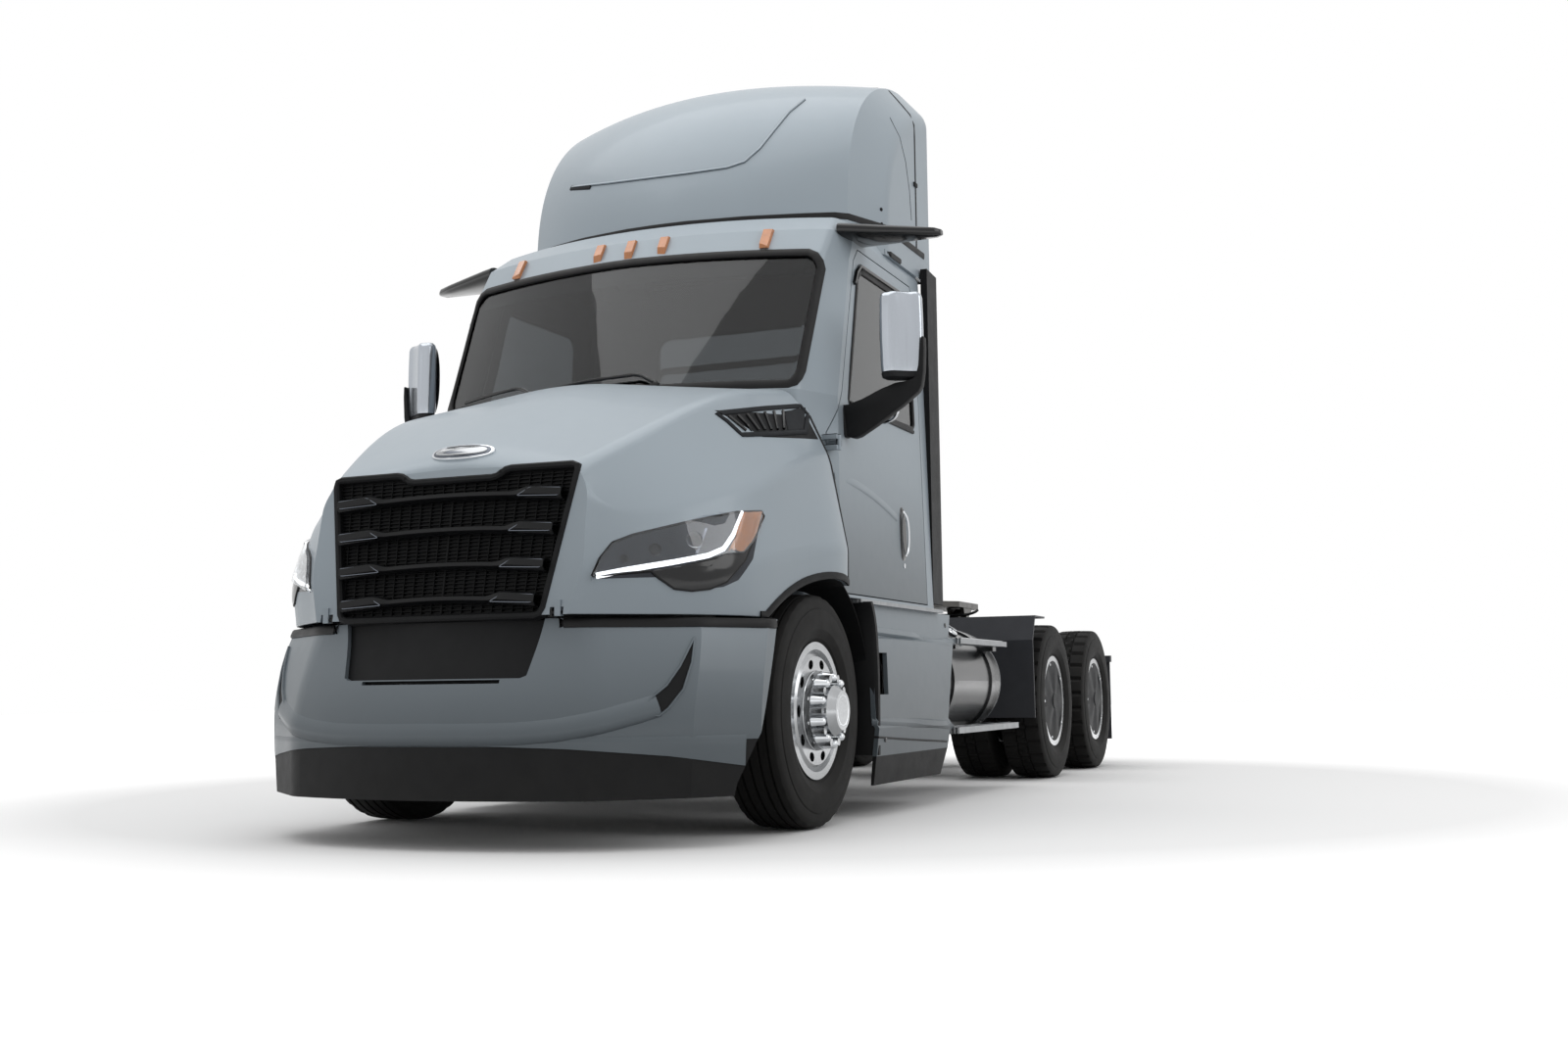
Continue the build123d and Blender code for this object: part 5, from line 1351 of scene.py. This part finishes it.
def addRearWheelCover(row, y):
    centre, wheelBody = Vector((tyreX["outer"], y, axleHeight)), "rear_wheel_%d_" % row
    body = wheelBody + "left"
    rings = []
    for a, r in wheel["cover"]:
        ring = []
        for k, (c, s) in enumerate(circle(90)):
            fold = 0.0045 * math.cos(5 * 2 * math.pi * k / 90) if 0.06 < r < 0.24 else 0
            ring.append(centre + Vector((a + fold, r * c, r * s)))
        rings.append(ring)
    parts = [settled(gridPiece(rings, ring=True, cap=True), "wheelCover", "coverDark", body, smooth=25)]
    parts += boltCircle(wheel["coverBolts"], centre, "coverBolt", body)
    lip = turnedPiece(wheel["rearBead"], centre, toLeft, 96, capped=False)
    parts.append(settled(lip, "rimBead", "chrome", body))
    mirrored(joined(parts, "rearWheelCover%dLeft" % row), wheelBody + "right")


addTyres()
addFrontWheelTrim()
for row, y in rearRows:
    addRearWheelCover(row, y)
print("tyres and wheel trim done")

# sides and chassis
doorTrim = dict(
    recess=[(1.352, 1.275), (1.348, 1.400), (1.356, 1.525), (1.385, 1.545), (1.422, 1.538), (1.438, 1.480),
            (1.434, 1.300), (1.410, 1.262), (1.376, 1.258)],
    recessMiddle=(1.397, 1.40), recessShares=(1.0, 0.9, 0.6, 0.2), recessLift=0.007,
    grip=[(1.400, 1.285, 0.006), (1.404, 1.315, 0.022), (1.408, 1.40, 0.028), (1.404, 1.485, 0.024),
          (1.398, 1.520, 0.006)],
    gripProfile=[(-0.010, -0.005), (-0.010, 0.003), (-0.005, 0.006), (0.005, 0.006), (0.010, 0.003),
                 (0.010, -0.005)],
    lockAt=(1.395, 1.235), lock=[(-0.001, 0.013), (0.003, 0.013), (0.004, 0.010), (0.003, 0.0008)],
    crease=[(0.45, 1.585), (0.62, 1.582), (0.85, 1.560), (1.10, 1.515), (1.30, 1.465)],
    creaseProfile=[(-0.045, -0.004), (-0.02, 0.003), (-0.004, 0.0055), (0.004, 0.005), (0.012, -0.003)],
    belt=(0.66, 0.9, 1.2, 1.5, 1.64), beltHeight=1.975)


def addDoorTrim(sign, label):
    body = "door_" + label.lower()
    skin = skinOf(body, "door_glass_" + label.lower())
    outward = Vector((sign, 0, 0))
    middle = fromSide(sign, *doorTrim["recessMiddle"])
    loop = softened([fromSide(sign, y, z) for y, z in doorTrim["recess"]], closed=True)
    rings = []
    for share in doorTrim["recessShares"]:
        ring = []
        for p in loop:
            place, _ = cast(skin, middle.lerp(p, share), -outward,
                            doorTrim["recessLift"] if share < 1 else 0.0)
            ring.append(place or ring[-1])
        rings.append(ring)
    settled(gridPiece(rings, ring=True, cap=True), "doorPocket" + label, "glossBlack", body)
    grip = softened([castSide(skin, sign, y, z, lift)[0] for y, z, lift in doorTrim["grip"]])
    bar = swept(grip, doorTrim["gripProfile"], [outward] * len(grip))
    bar = settled(bar, "doorGrip" + label, "chrome", body)
    lock = turnedPiece(doorTrim["lock"], *castSide(skin, sign, *doorTrim["lockAt"]), 20)
    joined([bar, settled(lock, "doorLock" + label, "chrome", body)], "doorGrip" + label)
    crease = softened([castSide(skin, sign, y, z)[0] for y, z in doorTrim["crease"]])
    crease = swept(crease, doorTrim["creaseProfile"], [outward] * len(crease))
    settled(crease, "doorCrease" + label, "bodyPaintSide", body, smooth=60)
    belt = [castSide(skin, sign, y, doorTrim["beltHeight"])[0] for y in doorTrim["belt"]]
    strip((belt, [outward] * len(belt)), "doorBelt" + label, "sealRubber", 0.020, 0.010, body)


sideFairing = dict(  # ledge and line pixels are in the viewer's frame
    ledges=[[(889, 646), (920, 650), (950, 655), (979, 658)], [(890, 738), (930, 740), (972, 742)]],
    ledgeProfile=[(-0.034, -0.003), (-0.030, 0.009), (-0.004, 0.013), (0.008, 0.004), (0.012, -0.004)],
    line=[(888, 752), (930, 755), (970, 757)],
    latches=[(0.70, 0.94), (1.90, 0.94), (0.70, 0.36), (1.90, 0.36)],
    latch=[(-0.001, 0.013), (0.003, 0.013), (0.0045, 0.010), (0.0035, 0.0008)],
    edge=[(1.200, 0.500, 1.005), (1.196, 0.545, 0.960), (1.196, 0.580, 0.860), (1.196, 0.600, 0.640),
          (1.190, 0.604, 0.290)],
    edgeShifts=[(-0.14, 0.012), (-0.012, 0.004), (0.004, 0.012), (0.004, 0.034), (-0.006, 0.040)],
    ribs=[(1.018, 1.115, 0.57, 1.72), (0.874, 1.150, 2.08, 2.96), (0.385, 1.115, 2.02, 3.20)],
    ribShifts=(-0.026, 0.0, 0.026))


def addSideFairing():
    skin = skinOf("side_fairings", "side_steps", "fairing_skirts")
    for number, pixels in enumerate(sideFairing["ledges"]):
        places, normals = seenPath(skin, pixels)
        ledge = swept(places, sideFairing["ledgeProfile"], normals)
        mirrored(settled(ledge, "fairingLedge%dLeft" % number, "bodyPaintLow"))
    mirrored(strip(seenPath(skin, sideFairing["line"]), "fairingLineLeft", "sealRubber", 0.010, 0.004))
    for y, z in sideFairing["latches"]:
        place, normal = castSide(skin, 1, y, z)
        if place is not None:
            latch = turnedPiece(sideFairing["latch"], place, normal, 18)
            mirrored(settled(latch, "fairingLatchLeft", "glossBlack"))
    path = softened([at(*spot) for spot in sideFairing["edge"]])
    rows = [[p + Vector((dx, dy, 0)) for dx, dy in sideFairing["edgeShifts"]] for p in path]
    mirrored(settled(gridPiece(rows), "fairingFrontEdgeLeft", "blackPlastic", thickness=0.004))
    for z, x, front, rear in sideFairing["ribs"]:
        ribs = []
        for shift in sideFairing["ribShifts"]:
            path = [at(x + shift, front, z), at(x + shift, rear, z)], [upwards] * 2
            ribs.append(strip(path, "stepRib", "chrome", 0.009, 0.0035, sink=0.002))
        mirrored(joined(ribs, "stepRibs%dLeft" % int(z * 1000)))


tank = dict(
    x=0.812, z=0.64, radius=0.310, straps=[(1, 2.12), (2, 2.90)], seams=[(0, 1.015), (2, 3.088)],
    strap=[(-0.026, -0.002), (-0.026, 0.004), (-0.018, 0.006), (0.018, 0.006), (0.026, 0.004),
           (0.026, -0.002)],
    filler=2.42, fillerLean=(0.55, 0, 0.84),
    neck=[(0, 0.056), (0.016, 0.056), (0.018, 0.050), (0.030, 0.050)],
    cap=[(0.026, 0.058), (0.046, 0.058), (0.052, 0.052), (0.053, 0.020), (0.060, 0.018), (0.060, 0.0008)])


def hoop(centre, radius, steps=64):
    ups = [Vector((c, 0, s)) for c, s in circle(steps)]
    return [centre + up * radius for up in ups], ups


def addTanks():
    for number, behind in tank["straps"]:
        places, ups = hoop(at(tank["x"], behind, tank["z"]), tank["radius"] + 0.001)
        strap = settled(swept(places, tank["strap"], ups, closed=True), "tankStrap", "polished")
        liner = strip((places, ups), "strapPad", "sealRubber", 0.066, 0.002, sink=0.002, closed=True)
        mirrored(joined([strap, liner], "tankStrap%dLeft" % number))
    lean = Vector(tank["fillerLean"])
    place = at(tank["x"], tank["filler"], tank["z"]) + lean * (tank["radius"] - 0.004)
    neck = settled(turnedPiece(tank["neck"], place, lean, 40), "fillerNeck", "polished")
    cap = settled(turnedPiece(tank["cap"], place, lean, 40), "fillerCap", "chrome")
    grip = blockPiece(place + lean * 0.062, (0.085, 0.014, 0.010), (0, 33, 0))
    grip = settled(grip, "fillerGrip", "chrome", bevel=0.003)
    mirrored(joined([neck, cap, grip], "tankFillerLeft"))
    for number, behind in tank["seams"]:
        path = hoop(at(tank["x"], behind, tank["z"]), tank["radius"] + 0.0005)
        seam = strip(path, "tankSeam%dLeft" % number, "polished", 0.008, 0.002, sink=0.002, closed=True)
        mirrored(seam)


chassisTrim = dict(
    railX=0.433, railBehind=(3.42, 3.50, 3.58, 3.98, 4.06, 4.32, 4.70, 5.00, 5.28, 5.62, 5.92, 6.14),
    railHeights=(0.79, 0.94), baseX=0.462, baseBehind=(4.60, 4.70, 4.80, 4.90), baseHeight=1.03,
    bolt=[(-0.002, 1.5), (0.002, 1.5), (0.0021, 1), (0.009, 1), (0.010, 0.7)],
    airX=(-0.20, 0.20), airBehind=3.78, airHeight=0.84,
    airShell=[(-0.25, 0.0008), (-0.25, 0.05), (-0.235, 0.085), (-0.21, 0.10), (0.21, 0.10), (0.235, 0.085),
              (0.25, 0.05), (0.25, 0.0008)],
    window=[(-0.60, 2.02), (0.60, 2.02), (0.60, 2.48), (-0.60, 2.48)],
    grabX=0.80, grab=[(0.004, 1.42), (0.075, 1.45), (0.078, 2.20), (0.004, 2.23)],
    socket=[(0, 0.030), (0.022, 0.030), (0.026, 0.024), (0.026, 0.012), (0.018, 0.010), (0.018, 0.0008)],
    lens=[(-0.002, 0.030), (0.004, 0.030), (0.007, 0.024), (0.008, 0.0008)],
    bezel=[(-0.002, 0.035), (0.003, 0.035), (0.004, 0.031), (-0.001, 0.030)],
    lenses=[(63, 0.304), (135, 0.376)], lensY=3.854, lensHeight=0.693)


def addBoltRow(spots, radius, name):
    profile = [(out, radius * share) for out, share in chassisTrim["bolt"]] + [(0.010, 0.0008)]
    bolts = [settled(turnedPiece(profile, spot, toLeft, 6), name, "castIron") for spot in spots]
    mirrored(joined(bolts, name))


def addBolts():
    spots = [at(chassisTrim["railX"], behind, z) for behind in chassisTrim["railBehind"]
             for z in chassisTrim["railHeights"]]
    addBoltRow(spots, 0.012, "railBoltsLeft")
    spots = [at(chassisTrim["baseX"], behind, chassisTrim["baseHeight"])
             for behind in chassisTrim["baseBehind"]]
    addBoltRow(spots, 0.013, "fifthWheelBoltsLeft")


def addAirTanks():
    parts, behind, z = [], chassisTrim["airBehind"], chassisTrim["airHeight"]
    for x in chassisTrim["airX"]:
        shell = turnedPiece(chassisTrim["airShell"], at(x, behind, z), toRear, 36)
        parts.append(settled(shell, "airTank", "frameBlack", smooth=40))
        for shift in (-0.14, 0.14):
            path = hoop(at(x, behind + shift, z), 0.101, 32)
            parts.append(strip(path, "airStrap", "polished", 0.03, 0.003, sink=0.002, closed=True))
        bracket = blockPiece(at(x * 1.9, behind, z), (0.07, 0.32, 0.05))
        parts.append(settled(bracket, "airBracket", "frameBlack", bevel=0.004))
    joined(parts, "airTanks")


def addCabBack():
    loop = chamfered([Vector((x, 2, z)) for x, z in chassisTrim["window"]], 0.06)
    path = castPath(bodySkin, spaced(loop + loop[:1], 0.05)[:-1], toFront)
    strip(path, "rearWindowSeal", "sealRubber", 0.040, 0.010, closed=True)
    rails = []
    for sign, _ in sides:
        x = sign * chassisTrim["grabX"]
        place, _ = cast(bodySkin, (x, 2, 2.0), toFront)
        bar = softened([Vector((x, place.y + out, z)) for out, z in chassisTrim["grab"]])
        rails.append(settled(swept(bar, roundProfile(0.014, 14)), "backGrab", "blackPlastic"))
    joined(rails, "backGrabs")
    panel = blockPiece(at(-0.30, 1.905, 1.52), (0.30, 0.05, 0.20))
    parts = [settled(panel, "linePanel", "blackPlastic", bevel=0.008)]
    for k, tone in enumerate(("lampRed", "frameBlack", "frameBlack")):
        socket = turnedPiece(chassisTrim["socket"], at(-0.40 + 0.10 * k, 1.93, 1.52), (0, 1, 0.1), 24)
        parts.append(settled(socket, "lineSocket", tone))
    joined(parts, "linePanel")


def addTailLenses():
    for number, x in chassisTrim["lenses"]:
        spot = Vector((x, chassisTrim["lensY"], chassisTrim["lensHeight"]))
        lens = settled(turnedPiece(chassisTrim["lens"], spot, toRear, 28), "tailLens", "lampRed")
        bezel = settled(turnedPiece(chassisTrim["bezel"], spot, toRear, 28), "tailBezel", "chrome")
        mirrored(joined([lens, bezel], "tailLens%dLeft" % number))


fifthWheel = dict(
    y=2.205, lines=7, firstLine=35, lineStep=19, lineReach=(0.15, 0.22, 0.30, 0.38), squash=0.9, jaw=0.11,
    handle=[(0.16, 2.06, 1.125), (0.44, 2.02, 1.120), (0.50, 2.00, 1.118), (0.56, 2.0, 1.135),
            (0.57, 2.03, 1.150)])


def addFifthWheel():
    body = "fifth_wheel_plate"
    skin, y = skinOf(body), fifthWheel["y"]
    grooves = []
    for k in range(fifthWheel["lines"]):
        turn = math.radians(fifthWheel["firstLine"] + fifthWheel["lineStep"] * k)
        c, s = math.cos(turn), math.sin(turn) * fifthWheel["squash"]
        path = castPath(skin, [Vector((r * c, y + r * s, 3)) for r in fifthWheel["lineReach"]], -upwards)
        if len(path[0]) > 1:
            grooves.append(strip(path, "greaseLine", "castIron", 0.014, 0.003, body))
    turns = [math.radians(-20 + 220 * k / 24) for k in range(25)]
    jaw = fifthWheel["jaw"]
    path = castPath(skin, [Vector((jaw * math.cos(a), y + jaw * math.sin(a), 3)) for a in turns], -upwards)
    if len(path[0]) > 2:
        grooves.append(strip(path, "jawRing", "castIron", 0.022, 0.004, body))
    joined(grooves, "fifthWheelGrooves")
    rod = softened([Vector(spot) for spot in fifthWheel["handle"]])
    settled(swept(rod, roundProfile(0.010, 12)), "releaseHandle", "frameBlack", body)


for sign, label in sides:
    addDoorTrim(sign, label)
addSideFairing()
addTanks()
addBolts()
addAirTanks()
addCabBack()
addTailLenses()
addFifthWheel()
print("sides, tanks and chassis trim done")

# cabin
seat = dict(
    x=0.56, width=0.50, depth=0.50, cushion=1.50, front=0.94, back=1.46, tilt=-3, lean=14,
    cushionRings=[(-0.045, -0.10), (-0.050, -0.03), (-0.03, 0.0), (0.00, 0.012), (0.03, 0.010),
                  (0.052, -0.012), (0.064, -0.05), (0.060, -0.12), (0.052, -0.22), (0.050, -0.34)],
    backRings=[(0.00, -0.10, 0.10), (0.02, -0.02, 0.13), (0.10, 0.0, 0.15), (0.25, 0.01, 0.145),
               (0.40, 0.0, 0.135), (0.52, -0.04, 0.12), (0.60, -0.12, 0.10), (0.63, -0.20, 0.07)],
    restRings=[(0.0, -0.06, 0.06), (0.015, 0.0, 0.085), (0.08, 0.015, 0.095), (0.14, 0.0, 0.085),
               (0.165, -0.05, 0.055)],
    restWidth=0.27, postX=(-0.06, 0.06), baseBehind=1.19, folds=5)


def pad(rings, name):
    return settled(gridPiece(rings, ring=True, cap=True), name, "seatCloth", levels=1, smooth=60)


def cushionRing(centre, wide, deep, turn=0.0, up=0.0, soft=0.6):
    ring = []
    for c, s in circle(28):
        u, v = wide / 2 * powered(c, soft), deep / 2 * powered(s, soft)
        ring.append(centre + Vector((u, v * math.cos(turn), v * math.sin(turn) + up)))
    return ring


def addCushion():
    middle = at(seat["x"], (seat["front"] + seat["back"]) / 2, seat["cushion"] - 0.10)
    tilt = math.radians(seat["tilt"])

    def ringAt(up, grow):
        return cushionRing(middle, seat["width"] + grow, seat["depth"] + grow, tilt, up, 0.55)
    cushion = pad([ringAt(up, grow) for up, grow in seat["cushionRings"]], "seatCushionLeft")
    return cushion, ringAt(0.050, -0.018)


def addSeatBack():
    rings = []
    for z, grow, thick in seat["backRings"]:
        behind = seat["back"] + 0.02 + z * math.tan(math.radians(seat["lean"]))
        centre = at(seat["x"], behind, seat["cushion"] - 0.02 + z)
        ring = cushionRing(centre, seat["width"] + grow, thick)
        for p in ring:
            if p.y < centre.y:  # soft channels on the front face
                p.y += 0.008 * math.cos(2 * math.pi * (p.x - centre.x) / 0.24) ** 8
        rings.append(ring)
    return pad(rings, "seatBackLeft")


def addSeatRest():
    rings = []
    for z, grow, thick in seat["restRings"]:
        centre = at(seat["x"], seat["back"] + 0.185 + z * 0.2, seat["cushion"] + 0.64 + z)
        rings.append(cushionRing(centre, seat["restWidth"] + grow, thick))
    return pad(rings, "seatRestLeft")


def addSeatFrame(piping):
    x, behind, posts, folds = seat["x"], seat["baseBehind"], [], []
    for dx in seat["postX"]:
        low = at(x + dx, seat["back"] + 0.175, seat["cushion"] + 0.56)
        high = at(x + dx, seat["back"] + 0.19, seat["cushion"] + 0.67)
        posts.append(settled(swept([low, high], roundProfile(0.006, 10)), "seatPost", "chrome"))
    base = settled(blockPiece(at(x, behind, 1.24), (0.40, 0.40, 0.30)), "seatBase", "trimDark", bevel=0.03)
    for k in range(seat["folds"]):
        fold = blockPiece(at(x, behind, 1.13 + 0.05 * k), (0.43, 0.43, 0.022))
        folds.append(settled(fold, "seatFold", "sealRubber", bevel=0.008))
    pan = settled(blockPiece(at(x, behind, 1.372), (0.47, 0.46, 0.045)), "seatPan", "trimDark", bevel=0.015)
    seam = settled(swept(piping, roundProfile(0.0035, 6), closed=True), "seatPiping", "trimDark")
    buckle = blockPiece(at(x - 0.24, 1.36, 1.46), (0.024, 0.05, 0.11), (14, 0, 0))
    buckle = settled(buckle, "beltBuckle", "glossBlack", bevel=0.006)
    return joined(posts + [base, pan, buckle] + folds + [seam], "seatFrameLeft")


def addSeats():
    cushion, piping = addCushion()
    back, rest = addSeatBack(), addSeatRest()
    frameLeft = addSeatFrame(piping)
    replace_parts(frameLeft, "seats")
    mirrored(frameLeft)
    for piece in (cushion, back, rest):
        mirrored(piece)


dash = dict(
    screens=[(0.56, 1.80, 0.34, 0.15), (0.06, 1.74, 0.30, 0.19)], ventX=(-0.62, -0.40, 0.40, 0.62),
    ventHeight=1.84, castFrom=1.6,
    vent=[(0, 0.045), (0.010, 0.045), (0.012, 0.036), (0.004, 0.033), (0.004, 0.0008)],
    hub=(0.56, 0.80, 1.87), axis=(0, 0.766, 0.643), gripRadius=0.226,
    pad=[(-0.01, 0.072), (0.020, 0.072), (0.030, 0.060), (0.034, 0.030), (0.035, 0.0008)])


def addDashTrim():
    parts, skin = [], skinOf("dashboard")
    for x, z, wide, tall in dash["screens"]:
        front, _ = cast(skin, at(x, dash["castFrom"], z), toFront)
        if front is not None:
            screen = blockPiece(front, (wide, 0.016, tall), (-10, 0, 0))
            parts.append(settled(screen, "dashScreen", "glossBlack", bevel=0.006))
    for x in dash["ventX"]:
        front, _ = cast(skin, at(x, dash["castFrom"], dash["ventHeight"]), toFront)
        if front is not None:
            outlet = turnedPiece(dash["vent"], front, (0, 1, 0.2), 24)
            parts.append(settled(outlet, "dashVent", "glossBlack"))
    joined(parts, "dashTrim")


def addSteeringGrip():
    hub, axis = at(*dash["hub"]), Vector(dash["axis"]).normalized()
    up, radius = axis.cross(toLeft), dash["gripRadius"]
    path = [hub + toLeft * radius * c + up * radius * s for c, s in circle(48)]
    grip = swept(path, roundProfile(0.0165, 12), closed=True)
    grip = settled(grip, "wheelGrip", "sealRubber", "steering_wheel")
    cap = turnedPiece(dash["pad"], hub, axis, 36)
    joined([grip, settled(cap, "wheelPad", "trimDark", "steering_wheel", smooth=60)], "steeringGrip")


addSeats()
addDashTrim()
addSteeringGrip()
print("seats and dashboard done")
